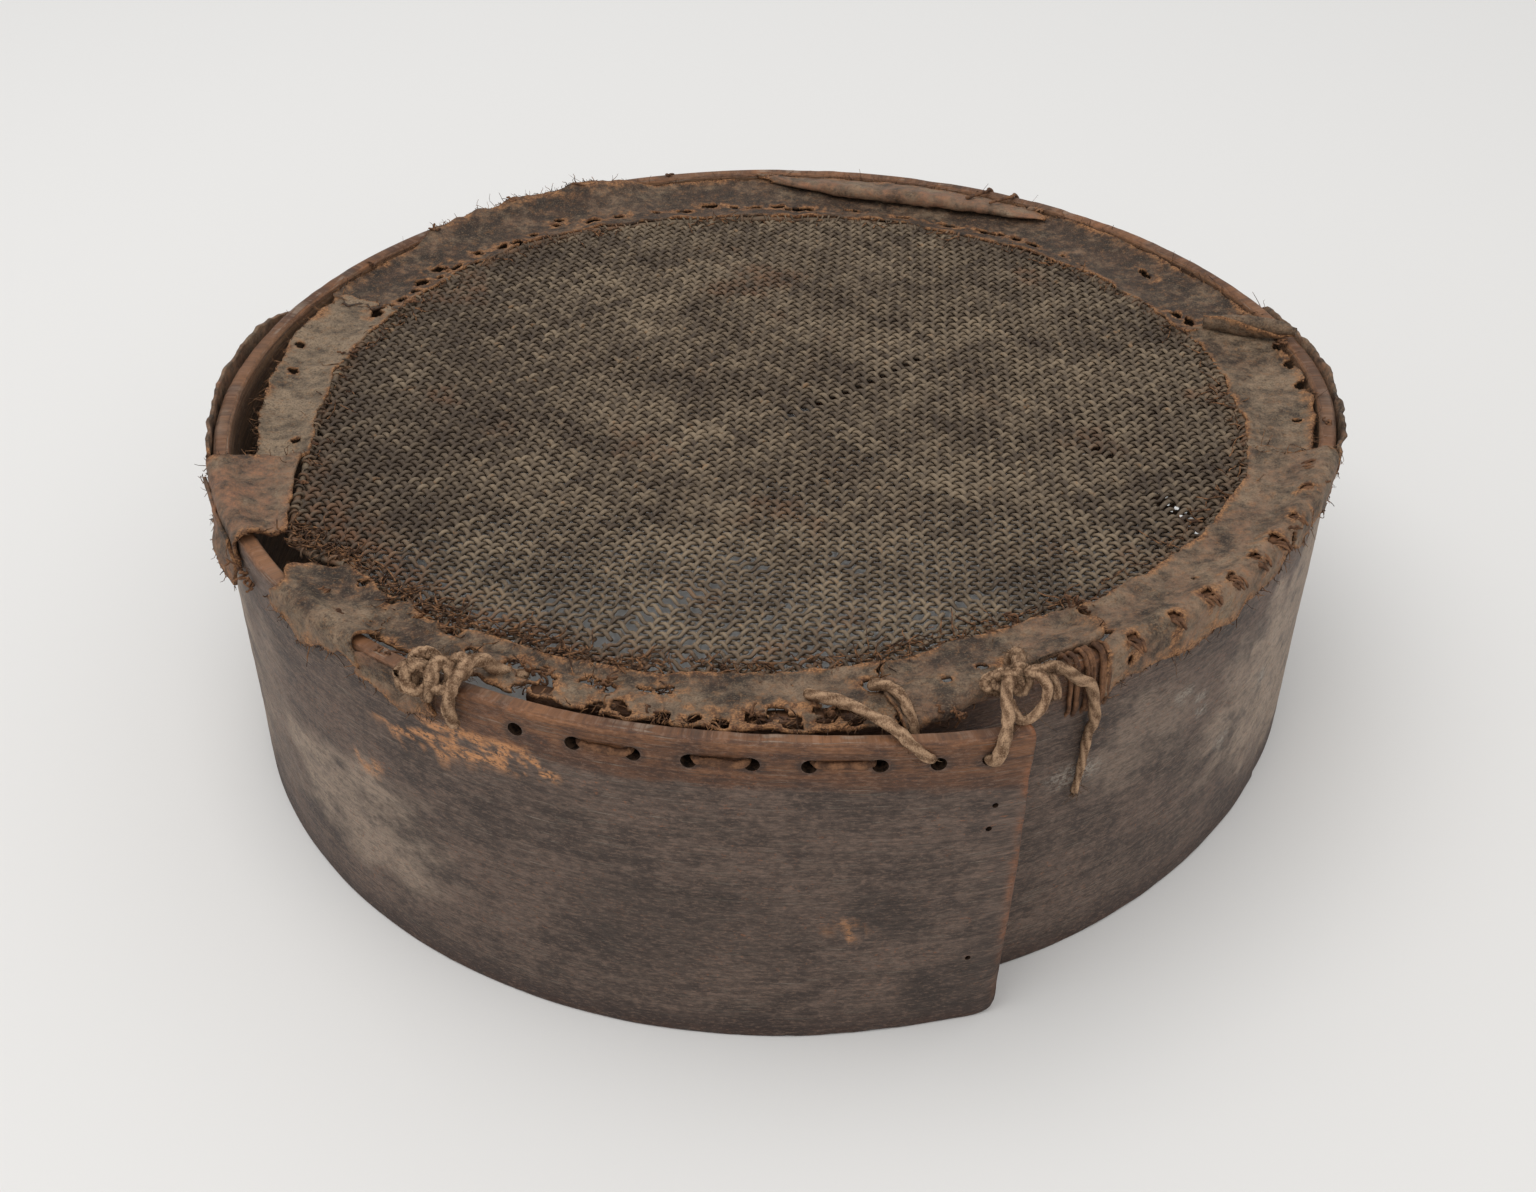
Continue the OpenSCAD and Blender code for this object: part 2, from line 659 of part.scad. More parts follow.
whip_points = with_ends(coil(whip_half_w, whip_half_h, whip_pitch, whip_loops), whip_d);
echo(whipping_least_gap = self_gap(whip_points, whip_d));
module edge_whipping() {
    color(CORD)
        rotate([0, 0, whip_at])
            translate([tail_r - wall / 2, 0, whip_mid_z])
                cord(whip_points, same(whip_points, whip_d), 6);
}

hoop();
net_warp();
net_weft();
net_edge_cord();
hide_band_left();
hide_band_back();
hide_band_side();
hide_band_right();
hide_tongue_right();
hide_band_front();
hide_wrap_front_left();
hide_strip_front_left();
hide_patch_left();
hide_roll_back();
hide_fold_right();
hide_strip_outer_left();
hide_strip_outer_right();
lap_stitches();
rim_stitches();
roll_thongs();
knot_left();
tie_cord_left();
diagonal_cord();
short_cord();
tie_strand_right();
tie_loop_right();
knot_right();
tie_tail_right();
edge_whipping();
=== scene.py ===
# %% [markdown]
# # An old drum sieve of bent wood and rawhide
# The real sieve is one board bent into a hoop, with a net of cut gut strands across its top. A band of
# hide holds the net to the hoop, and it has torn in many places. The CAD model gives each piece its
# place and size. Here each soft piece is drawn again with its weave, its ragged edges and its finish.

# %% Load the frame
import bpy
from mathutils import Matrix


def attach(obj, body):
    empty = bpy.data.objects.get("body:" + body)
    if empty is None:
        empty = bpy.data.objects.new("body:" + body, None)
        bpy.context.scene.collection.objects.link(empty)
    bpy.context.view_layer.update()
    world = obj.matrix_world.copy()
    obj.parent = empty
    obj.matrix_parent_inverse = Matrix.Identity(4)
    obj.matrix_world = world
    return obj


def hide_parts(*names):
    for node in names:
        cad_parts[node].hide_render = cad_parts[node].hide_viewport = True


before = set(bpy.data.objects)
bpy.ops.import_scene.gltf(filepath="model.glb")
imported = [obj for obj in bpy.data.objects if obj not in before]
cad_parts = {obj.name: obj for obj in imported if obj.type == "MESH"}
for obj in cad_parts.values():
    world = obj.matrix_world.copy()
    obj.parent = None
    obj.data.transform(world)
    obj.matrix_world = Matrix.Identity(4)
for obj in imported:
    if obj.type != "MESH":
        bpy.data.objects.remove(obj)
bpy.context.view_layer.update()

# %% [markdown]
# ## Arrays into meshes
# A surface is a grid of points: one row for each step along it and one column for each step across.
# numpy works out the whole grid at once, and foreach_set hands it to Blender in one call, which is far
# quicker than adding faces one by one. All lengths below are in millimetres until a mesh is made.

# %% Mesh helpers
import bpy
import numpy as np
from mathutils import Matrix, Vector

MM = 0.001


def polar(radius, angle, height):
    """Points at a radius, an angle in degrees and a height: x = r cos a, y = r sin a."""
    radius, angle, height = np.broadcast_arrays(radius, np.radians(angle), height)
    return np.stack([radius * np.cos(angle), radius * np.sin(angle), height], -1).astype(float)


def grid_quads(rows, cols, wrap=False):
    """Corner numbers of a grid's faces, four for each. wrap joins the last column to the first."""
    i, k = np.meshgrid(np.arange(rows - 1), np.arange(cols if wrap else cols - 1), indexing="ij")
    right = (k + 1) % cols
    return np.stack([i * cols + k, i * cols + right, (i + 1) * cols + right, (i + 1) * cols + k], -1)


def add_mesh(name, points, quads, caps=(), corner_uv=None, marks=None):
    """A smooth mesh object from points in mm, faces of four corners and caps of any number of corners."""
    points = np.asarray(points, float).reshape(-1, 3)
    quads = np.asarray(quads, np.int64).reshape(-1, 4)
    corners = np.concatenate([quads.ravel()] + [np.ravel(c) for c in caps]).astype(np.int64)
    sizes = np.concatenate([np.full(len(quads), 4), [len(np.ravel(c)) for c in caps]]).astype(np.int64)
    used, corners = np.unique(corners, return_inverse=True)
    corners = corners.ravel()
    mesh = bpy.data.meshes.new(name)
    mesh.vertices.add(len(used))
    mesh.vertices.foreach_set("co", (points[used] * MM).ravel())
    mesh.loops.add(len(corners))
    mesh.loops.foreach_set("vertex_index", corners)
    mesh.polygons.add(len(sizes))
    mesh.polygons.foreach_set("loop_start", np.cumsum(sizes) - sizes)
    mesh.polygons.foreach_set("use_smooth", np.ones(len(sizes), bool))
    mesh.update(calc_edges=True)
    if corner_uv is not None:
        flat = np.zeros((len(corners), 2))
        flat[: corner_uv.size // 2] = corner_uv.reshape(-1, 2)
        mesh.uv_layers.new(name="UVMap").data.foreach_set("uv", flat.ravel())
    for key, values in (marks or {}).items():
        layer = mesh.attributes.new(key, "FLOAT", "POINT")
        layer.data.foreach_set("value", np.ravel(values)[used].astype(np.float32))
    made = bpy.data.objects.new(name, mesh)
    bpy.context.scene.collection.objects.link(made)
    return made


def settle(obj):
    """Puts the result of an object's modifiers into its mesh."""
    bpy.context.view_layer.update()
    done = bpy.data.meshes.new_from_object(obj.evaluated_get(bpy.context.evaluated_depsgraph_get()))
    obj.modifiers.clear()
    obj.data = done
    return obj


# %% [markdown]
# ## Unevenness
# Old wood and hide have no straight lines. The noise here is value noise: a repeatable random number sits
# at each whole cell of a lattice, and the values between are blended smoothly. Adding copies that are each
# half as large and twice as fine gives a cloud.

# %% Noise
def lattice(i, j, seed):
    """A repeatable number from 0 to 1 for a cell: the fraction of a large multiple of a sine."""
    value = np.sin(i * 127.1 + j * 311.7 + seed * 74.7) * 43758.5453
    return value - np.floor(value)


def noise(x, y, seed=0):
    """Value noise from -1 to 1: the four corner values of a cell, blended by 3t^2 - 2t^3 each way."""
    x, y = np.broadcast_arrays(np.asarray(x, float), np.asarray(y, float))
    i, j = np.floor(x), np.floor(y)
    u, v = x - i, y - j
    u, v = u * u * (3 - 2 * u), v * v * (3 - 2 * v)
    low = lattice(i, j, seed) * (1 - u) + lattice(i + 1, j, seed) * u
    high = lattice(i, j + 1, seed) * (1 - u) + lattice(i + 1, j + 1, seed) * u
    return 2 * (low * (1 - v) + high * v) - 1


def cloud(x, y, seed=0, octaves=4):
    """The sum of octaves of noise, each half as large and twice as fine as the one before."""
    return sum(noise(x * 2**n, y * 2**n, seed + 7 * n) / 2**n for n in range(octaves)) * 0.55


def smooth(value, low, high):
    """0 below low, 1 above high, and 3t^2 - 2t^3 between them."""
    t = np.clip((value - low) / (high - low), 0, 1)
    return t * t * (3 - 2 * t)


def table(angle, pairs):
    """A value read off a list of (angle, value) pairs, by straight lines between them."""
    pairs = np.array(pairs, float)
    return np.interp(angle, pairs[:, 0], pairs[:, 1])


# %% [markdown]
# ## Cords and strands
# A round strand is a ring of corners carried along a path. The ring needs a side vector at each point.
# For thousands of short fibres one fixed direction does, made square to each path. For a cord that loops
# back on itself the side is carried from point to point, so that it doesn't spin.

# %% Tubes
def unit(v):
    """Vectors divided by their lengths."""
    return v / np.maximum(np.linalg.norm(v, axis=-1, keepdims=True), 1e-9)


def along(paths):
    """Directions of paths: the difference of each point's two neighbours."""
    return unit(np.gradient(paths, axis=-2))


def carried_side(path, start=(0, 0, 1)):
    """Side vectors that turn as little as they can: each is the last one made square to the path."""
    ways = along(path)
    side = np.array(start, float) if abs(ways[0] @ np.array(start)) < 0.9 else np.array([1.0, 0, 0])
    sides = []
    for way in ways:
        side = unit(side - (side @ way) * way)
        sides.append(side)
    return np.array(sides)


def curve(points, steps=8):
    """A smooth path through points: on each span the Catmull-Rom cubic of it and its two neighbours."""
    p = np.array(points, float)
    p = np.concatenate([2 * p[:1] - p[1:2], p, 2 * p[-1:] - p[-2:-1]])
    t = np.linspace(0, 1, steps, endpoint=False)[None, :, None]
    a, b, c, d = (p[k : len(p) - 3 + k][:, None] for k in range(4))
    line = 0.5 * (2 * b + (c - a) * t + (2 * a - 5 * b + 4 * c - d) * t**2 + (3 * b - a - 3 * c + d) * t**3)
    return np.concatenate([line.reshape(-1, 3), p[-2:-1]])


def tubes(name, paths, radius, sides, side, keep=None, flat=1.0, marks=None):
    """Strands along paths, an array of strands x points x 3.

    A corner is p + r (cos f s + flat sin f w), where s is the side vector, w is square to it and f goes
    once round. keep says which rings are there, and each run of kept rings is closed at both ends.
    """
    paths = np.asarray(paths, float)
    paths = paths[None] if paths.ndim == 2 else paths
    count, rings = paths.shape[:2]
    ways = along(paths)
    side = np.broadcast_to(side, paths.shape)
    side = unit(side - (side * ways).sum(-1, keepdims=True) * ways)
    turn = 2 * np.pi * np.arange(sides) / sides
    radius = np.broadcast_to(radius, (count, rings))[..., None, None]
    other = np.cross(ways, side)[:, :, None]
    points = paths[:, :, None] + radius * (
        np.cos(turn)[:, None] * side[:, :, None] + flat * np.sin(turn)[:, None] * other)
    keep = np.ones((count, rings), bool) if keep is None else keep
    ring = grid_quads(rings, sides, wrap=True)
    start = (np.arange(count) * rings * sides)[:, None, None, None]
    both = keep[:, :-1] & keep[:, 1:]
    quads = (ring[None] + start)[both]
    edge = np.pad(both, ((0, 0), (1, 1)))
    first = np.argwhere(edge[:, 1:] & ~edge[:, :-1])
    last = np.argwhere(~edge[:, 1:] & edge[:, :-1])
    corner = np.arange(sides)
    caps = [(s * rings + r) * sides + corner[::-1] for s, r in first]
    caps += [(s * rings + r) * sides + corner for s, r in last]
    spans = np.linalg.norm(np.diff(paths, axis=1), axis=-1)
    length = np.concatenate([np.zeros((count, 1)), np.cumsum(spans, 1)], 1)
    u = np.stack([length[:, :-1], length[:, :-1], length[:, 1:], length[:, 1:]], -1)[:, :, None]
    v = np.stack([corner, corner + 1, corner + 1, corner], -1) / sides
    u, v = np.broadcast_arrays(u / 10, v[None, None])
    uv = np.stack([u, v], -1)[both]
    marks = {k: np.repeat(np.broadcast_to(m, (count, rings)), sides) for k, m in (marks or {}).items()}
    return add_mesh(name, points, quads, caps, uv, marks)


# %% [markdown]
# ## The camera
# The camera comes first, because the loose cord's room is judged from where it stands. Its place was worked
# out from the ellipses of the hoop's top and foot in the photograph.

# %% Camera
def look(place, yaw, pitch, roll, lens):
    """A camera turned by yaw about Z, then down by pitch and round its line of sight by roll, in degrees."""
    yaw, pitch, roll = np.radians([yaw, pitch, roll])
    ahead = np.array([np.sin(yaw) * np.cos(pitch), np.cos(yaw) * np.cos(pitch), -np.sin(pitch)])
    right = unit(np.cross(ahead, [0, 0, 1]))
    up = np.cross(right, ahead)
    right, up = np.cos(roll) * right + np.sin(roll) * up, np.cos(roll) * up - np.sin(roll) * right
    camera = bpy.data.objects.new("camera", bpy.data.cameras.new("camera"))
    camera.data.lens, camera.data.sensor_width, camera.data.sensor_fit = lens, 36, "HORIZONTAL"
    pose = np.eye(4)
    pose[:3, 0], pose[:3, 1], pose[:3, 2], pose[:3, 3] = right, up, -ahead, place
    camera.matrix_world = Matrix(pose.tolist())
    bpy.context.scene.collection.objects.link(camera)
    bpy.context.scene.camera = camera


look(place=(0, -0.6633, 0.5126), yaw=-0.431, pitch=36.098, roll=0.166, lens=40.41)

# %% [markdown]
# ## Sizes shared with the CAD model
# These are the board's radii and the angles where it steps inwards, as the solids have them.

# %% The board's outline
HOOP_R, HOOP_H, WALL, TAIL_R, EDGE = 240.0, 145.0, 7.0, 222.0, 2.5
STEP_START, STEP_END, TAIL_END, FLARE_START, OUTER_END = 10.0, -58.0, -113.0, 265.0, 289.0
NET_Z = 139.0
TAIL_SLOPE = np.tan(np.radians(2.6))
step_k = 1 - np.cos(np.radians(STEP_START - STEP_END))
STEP_BEND = (HOOP_R - TAIL_R) * (4 + np.sqrt(16 - 8 * step_k)) / (4 * step_k)
FLARE_BEND = 6 / (1 - np.cos(np.radians(OUTER_END - FLARE_START)))


def from_circle(centre, radius, swing):
    """Distance from the axis to a circle whose centre lies at a distance along angle 0, seen at an angle."""
    swing = np.radians(swing)
    return centre * np.cos(swing) + np.sqrt(radius**2 - (centre * np.sin(swing)) ** 2)


def board_r(angle):
    """Radius of the board's outer face, from -113 degrees at the hidden end to 289 at the outer end."""
    angle = np.asarray(angle, float)
    middle = (STEP_START + STEP_END) / 2
    inward = np.where(angle >= middle,
        from_circle(STEP_BEND, HOOP_R - STEP_BEND, STEP_START - np.maximum(angle, middle)),
        from_circle(-STEP_BEND, TAIL_R + STEP_BEND, np.clip(angle, STEP_END, middle) - STEP_END))
    flare = from_circle(-FLARE_BEND, HOOP_R + FLARE_BEND, np.maximum(angle, FLARE_START) - FLARE_START)
    return np.select([angle < STEP_END, angle < STEP_START, angle <= FLARE_START],
        [TAIL_R, inward, HOOP_R], flare)


def board_top(angle):
    """Height of the board's top edge, which slopes down along the hidden end."""
    drop = np.sin(np.radians(np.maximum(0, STEP_END - np.asarray(angle, float))))
    return HOOP_H - TAIL_R * drop * TAIL_SLOPE


def front(angle):
    """The same place on the outer end, counted on from 180 degrees."""
    return np.asarray(angle, float) + 360


print("board radius at 0, -30, -60 and the outer end", board_r(np.array([0, -30, -60, 289])).round(2))

# %% [markdown]
# ## The loose tail of the tie
# The only cord that hangs free is the frayed tail of the right tie, 78 mm long. It leaves the knot, passes
# over the whipping and hangs down along the hidden end.

# %% Tail of the tie
knot_r, knot_a, knot_z = 227.07, -69.5, 152.82
beside = 12.5 / knot_r * 180 / np.pi
whip_mid = board_top(-61) - EDGE - 7.1
tail_route = polar(*np.array([
    [knot_r, knot_a + beside, knot_z], [228.55, knot_a + beside + 1.5, knot_z - 3], [227.05, -63, 142.1],
    [227.05, -61.5, whip_mid + 2], [227.05, -60.6, whip_mid - 14.2], [224.55, -60.5, whip_mid - 22],
    [224.55, -60.8, 97.5], [224.55, -61.2, 85.5]]).T)
tail_line = curve(tail_route, 10)
tail_share = np.linspace(0, 1, len(tail_line))
tail_thick = (2.1 + 0.25 * noise(tail_share * 22, 0, 3)) * (1 - 0.35 * smooth(tail_share, 0.6, 1))
tail = tubes("tie_tail", tail_line, tail_thick, 12, carried_side(tail_line))
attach(tail, "root")
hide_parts("tie_tail_right")

# %% [markdown]
# ## The bent board
# The hoop is one board, steamed and bent until its ends lap. On the real one the faces are a little wavy,
# the edges are rounded by hands, and the outer end has sprung away at the top. The surface is a closed
# section (outer face, rounded top, inner face, foot) carried round the axis from one end to the other.
# Lengths along the board are angles times a radius: MIDDLE_R for the clouds, and END_R at the outer end.

# %% Board surface
def clipped(values):
    return np.clip(values, 0, 1)


def board_section():
    """Depth from the outer face and height of the section's points: up the outer face and down the inner."""
    rows = np.concatenate([np.linspace(1.2, 112, 29), np.linspace(114, HOOP_H - EDGE, 24)])
    arc = np.radians(np.linspace(0, 90, 6)[1:])
    outer = np.stack([np.zeros(len(rows)), rows], -1)
    top_out = np.stack([EDGE * (1 - np.cos(arc)), HOOP_H - EDGE + EDGE * np.sin(arc)], -1)
    top_in = np.stack([WALL - EDGE + EDGE * np.sin(arc), HOOP_H - EDGE + EDGE * np.cos(arc)], -1)
    inner = np.stack([np.full(24, WALL), np.linspace(HOOP_H - EDGE - 4, 1.2, 24)], -1)
    foot = np.array([[WALL - 0.3, 0.3], [WALL - 1.2, 0], [1.2, 0], [0.3, 0.3]])
    return np.concatenate([outer, top_out, top_in, inner, foot])


HOLES = np.array([-111.5, -106.5, -101.5, -97, -92, -87.5, -82, -77.5, -73.5])
HOLE_Z = 135.5
LACED = [(1, 2), (3, 4), (5, 6)]

board_a = np.unique(np.concatenate([np.arange(TAIL_END, 286, 0.6), np.arange(286, 289.01, 0.25),
    np.arange(245, 290, 0.4).clip(max=OUTER_END)]))
MIDDLE_R, END_R = 236, 243
section = board_section()
a, depth = np.broadcast_arrays(board_a[:, None], section[None, :, 0])
z = np.broadcast_to(section[None, :, 1], a.shape)
run = np.radians(a) * MIDDLE_R

face = 1 - depth / WALL
lean = 6.5 * (z / HOOP_H - 0.5) * smooth(a, 262, 289) ** 1.5
wave = 0.55 * cloud(run / 70, z / 60, 1) + 0.16 * cloud(run / 18, z / 3, 2)
groove = 0
for first, last in LACED:
    begin, end = front(HOLES[first]), front(HOLES[last])
    groove = groove + (smooth(a, begin - 0.6, begin + 0.6) * smooth(-a, -end - 0.6, -end + 0.6)
        * np.exp(-((z - HOLE_Z - 0.9) / 1.5) ** 2))
worn_top = smooth(z, HOOP_H - 4, HOOP_H) * (0.35 + 0.8 * np.maximum(0, cloud(run / 16, 3.0, 4)))
radius = board_r(a) + lean + wave * (0.4 + 0.6 * face) - depth - 1.7 * groove * (face > 0.9)

top = board_top(a)
height = z - smooth(z, 90, HOOP_H) * (HOOP_H - top) - worn_top
from_end = np.radians(OUTER_END - a) * END_R
ROUND = 6
rounded = ROUND - np.sqrt(np.clip(ROUND**2 - (ROUND - from_end) ** 2, 0, ROUND**2))
height = height + np.where(from_end < ROUND, rounded, 0) * (1 - z / 60).clip(0, 1)
chip = 0.7 * np.maximum(0, cloud(run / 9, 8.0, 5) - 0.15) * smooth(-z, -4, 0)
height = height + chip
end_wobble = 0.9 * cloud(z / 14, 2.0, 6) * smooth(a, 288.2, 289) / 4.2
angle = a + end_wobble + smooth(a, 287, 289) * (1 + 0.12 * (z / HOOP_H - 0.5))
print("board grid", a.shape, "points")

# %% [markdown]
# The board's finish depends on where it was handled. Each mark below is a number at every corner of the
# mesh, from 0 to 1: the clean reddish band along the lacing, the greyish bloom with a painted sheen on the
# left and right, the dark dirt round the holes, the pale rubbed spots and the bare wood along the top.

# %% Marks on the board
uneven = 0.35 * cloud(run / 14, z / 9, 9)


def spots(places):
    """The sum of soft uneven spots: each is its strength at its middle and 0 beyond its edge."""
    total = 0
    for where, middle, wide, tall, strength in places:
        away = np.hypot(np.radians(a - where) * HOOP_R / wide, (z - middle) / tall)
        total = total + strength * smooth(1 - away + uneven, 0, 0.5)
    return total


BARE_EDGE = [(236, 146), (240, 130), (241.2, 129), (245, 126.5), (252.4, 125.2), (259, 126), (265.5, 124.2),
    (271.8, 127.3), (278.2, 123.2), (284.7, 123), (289, 120)]
# A greyish bloom all round, strongest on the left and right sides, where it is painted sheen.
BLOOM_AND_SHEEN = [(192, 85, 90, 90, 0.7), (-10, 85, 110, 90, 0.75), (205, 70, 90, 62, 0.3), (228, 55, 60, 38, 0.8),
    (-22, 70, 100, 62, 0.75), (-52, 95, 40, 30, 0.35), (120, 70, 150, 50, 0.5), (60, 80, 90, 50, 0.5)]
PALE = [(-47, 104, 9, 5, 1), (-44, 96, 6, 4, 1), (-43.5, 88, 5, 4, 1), (-61, 92, 16, 7, 1),
    (-38, 60, 6, 4, 1), (-30, 74, 5, 6, 1)]
DIRT = [(front(hole), HOLE_Z, 5.5, 4.5, 0.9) for hole in HOLES]
# Besides the lacing holes, these spots darken the outer end's front, the wood round the nail holes, and a
# tall strip of the hidden end at -70 degrees, just past the outer end.
DIRT += [(279, 64, 26, 14, 0.8), (285, 22, 30, 18, 0.8), (262, 55, 55, 30, 0.5), (286.3, 112, 4, 4, 1),
    (286, 103, 4, 3, 1), (-70, 40, 18, 60, 0.7)]
SCRAPED = [(244, 122, 30, 9, 1), (238.5, 113, 26, 8, 1), (250, 118, 10, 5, 1), (276, 57, 9, 6, 1),
    (231, 88, 8, 5, 1)]

outside = (face > 0.55).astype(float)
bare_front = smooth(z - table(a, BARE_EDGE) + 3.2 * cloud(run / 10, z / 5, 11), -1.5, 1.5)
bare_tail = (a < -55) * smooth(z + 3 * cloud(run / 10, z / 5, 12), 124, 134)
rim_top = smooth(z, HOOP_H - 4, HOOP_H - 1)
rim_front = outside * 0.85 * smooth(a, 237, 241) * smooth(z + 3 * cloud(run / 12, 4.0, 15), 127, 136)
worn_patches = smooth(cloud(run / 6, z / 6, 14), -0.45, 0.15)
marks = {
    "bare": np.maximum(bare_front, bare_tail) * outside,
    "bloom_and_sheen": outside * clipped(0.05 + spots(BLOOM_AND_SHEEN)),
    "pale": outside * clipped(spots(PALE)),
    # Also darker on the hidden end at angles below -64 degrees, from 110 mm up.
    "dirt": clipped(spots(DIRT) + 0.3 * (a < -64) * smooth(z, 110, 130)),
    "rim": np.maximum(rim_top, rim_front) * clipped(0.85 + 0.5 * cloud(run / 25, 1.0, 12)),
    "scrape": outside * clipped(spots(SCRAPED)) * smooth(cloud(run / 3.5, z / 1.6, 13), -0.08, 0.12),
    "edge": clipped(smooth(a, 288.35, 288.9) + smooth(-z, -2.6, -0.6)) * worn_patches,
    "low": outside * smooth(-z, -16, -2),
    "inside": 1 - face,
}
board_uv = np.stack([a / 100, z / 100], -1)

count = len(section)
quads = grid_quads(len(board_a), count, wrap=True)[:, :, ::-1]
corner_uv = board_uv.reshape(-1, 2)[quads]
caps = [np.arange(count), (len(board_a) - 1) * count + np.arange(count)[::-1]]
board = add_mesh("hoop_board", polar(radius, angle, height), quads, caps, corner_uv, marks)

# %% [markdown]
# ## Writing shader maths as Python
# A material is a graph of nodes, and building one by hand is slow to read. The class below wraps one
# socket. Its operators add Math nodes, so 1 - mask * 0.5 reads as it would on paper. Every other node comes
# from its one method, which sets the node's settings first and then the values or wires of its sockets.

# %% Shader wires
class Wire:
    """One output socket of a material's graph."""

    def __init__(self, tree, socket=None):
        self.tree, self.socket = tree, socket

    def node(self, kind, settings=None, inputs=None, out=0):
        made = self.tree.nodes.new("ShaderNode" + kind)
        for key, value in (settings or {}).items():
            setattr(made, key, value)
        for key, value in (inputs or {}).items():
            if isinstance(value, Wire):
                self.tree.links.new(value.socket, made.inputs[key])
            else:
                made.inputs[key].default_value = value
        return Wire(self.tree, made.outputs[out])

    def maths(self, operation, first, second):
        return self.node("Math", {"operation": operation}, {0: first, 1: second})

    def __add__(self, other):
        return self.maths("ADD", self, other)

    def __sub__(self, other):
        return self.maths("SUBTRACT", self, other)

    def __rsub__(self, other):
        return self.maths("SUBTRACT", other, self)

    def __mul__(self, other):
        return self.maths("MULTIPLY", self, other)

    __radd__, __rmul__ = __add__, __mul__

    def between(self, low, high):
        """0 below low, 1 above high, and a smooth step between."""
        ends = {"Value": self, "From Min": low, "From Max": high}
        return self.node("MapRange", {"interpolation_type": "SMOOTHSTEP"}, ends)

    def mix(self, first, second):
        """The first colour where this wire is 0, and the second where it is 1."""
        return self.node("Mix", {"data_type": "RGBA"}, {0: self, 6: first, 7: second}, out=2)


def rgb(red, green, blue):
    """A colour as a shader wants it, from the 0 to 255 numbers of a picture."""
    c = np.array([red, green, blue]) / 255
    return tuple(np.where(c <= 0.04045, c / 12.92, ((c + 0.055) / 1.055) ** 2.4)) + (1.0,)


def grainy(where, size, seed=0, detail=3, rough=0.55):
    """Noise from about 0.3 to 0.7 on coordinates in mm, whose spots are size mm across along each axis."""
    scale = tuple(1 / s for s in np.broadcast_to(size, 3))
    shift = (seed * 17.3, seed * 5.1, seed * 9.7)
    place = where.node("Mapping", inputs={"Vector": where, "Scale": scale, "Location": shift})
    return where.node("TexNoise", inputs={"Vector": place, "Scale": 1.0, "Detail": detail,
        "Roughness": rough})


def layered(colour, layers):
    """A colour with each layer's colour laid over it, as far as the layer's mask says."""
    for mask, paint in layers:
        colour = mask.mix(colour, paint)
    return colour


def finish(name, paint, specular=0.25, depth=0.0004):
    """A material whose paint gives its colour, its roughness and its height for the bump."""
    made = bpy.data.materials.new(name)
    made.use_nodes = True
    start = Wire(made.node_tree)
    shader = made.node_tree.nodes["Principled BSDF"]
    colour, rough, height = paint(start)
    bump = start.node("Bump", inputs={"Height": height, "Distance": depth, "Strength": 1.0})
    for key, wire in (("Base Color", colour), ("Roughness", rough), ("Normal", bump)):
        made.node_tree.links.new(wire.socket, shader.inputs[key])
    shader.inputs["Specular IOR Level"].default_value = specular
    return made


def mark(start, name):
    return start.node("Attribute", {"attribute_name": name}, out=2)


def in_mm(start, kind="Object"):
    """Coordinates in mm: the object's own, or those of its UV map."""
    out = {"Object": 3, "UV": 2}[kind]
    scale = {"Object": (1000, 1000, 1000), "UV": (419, 100, 1)}[kind]
    return start.node("VectorMath", {"operation": "MULTIPLY"}, {0: start.node("TexCoord", out=out), 1: scale})
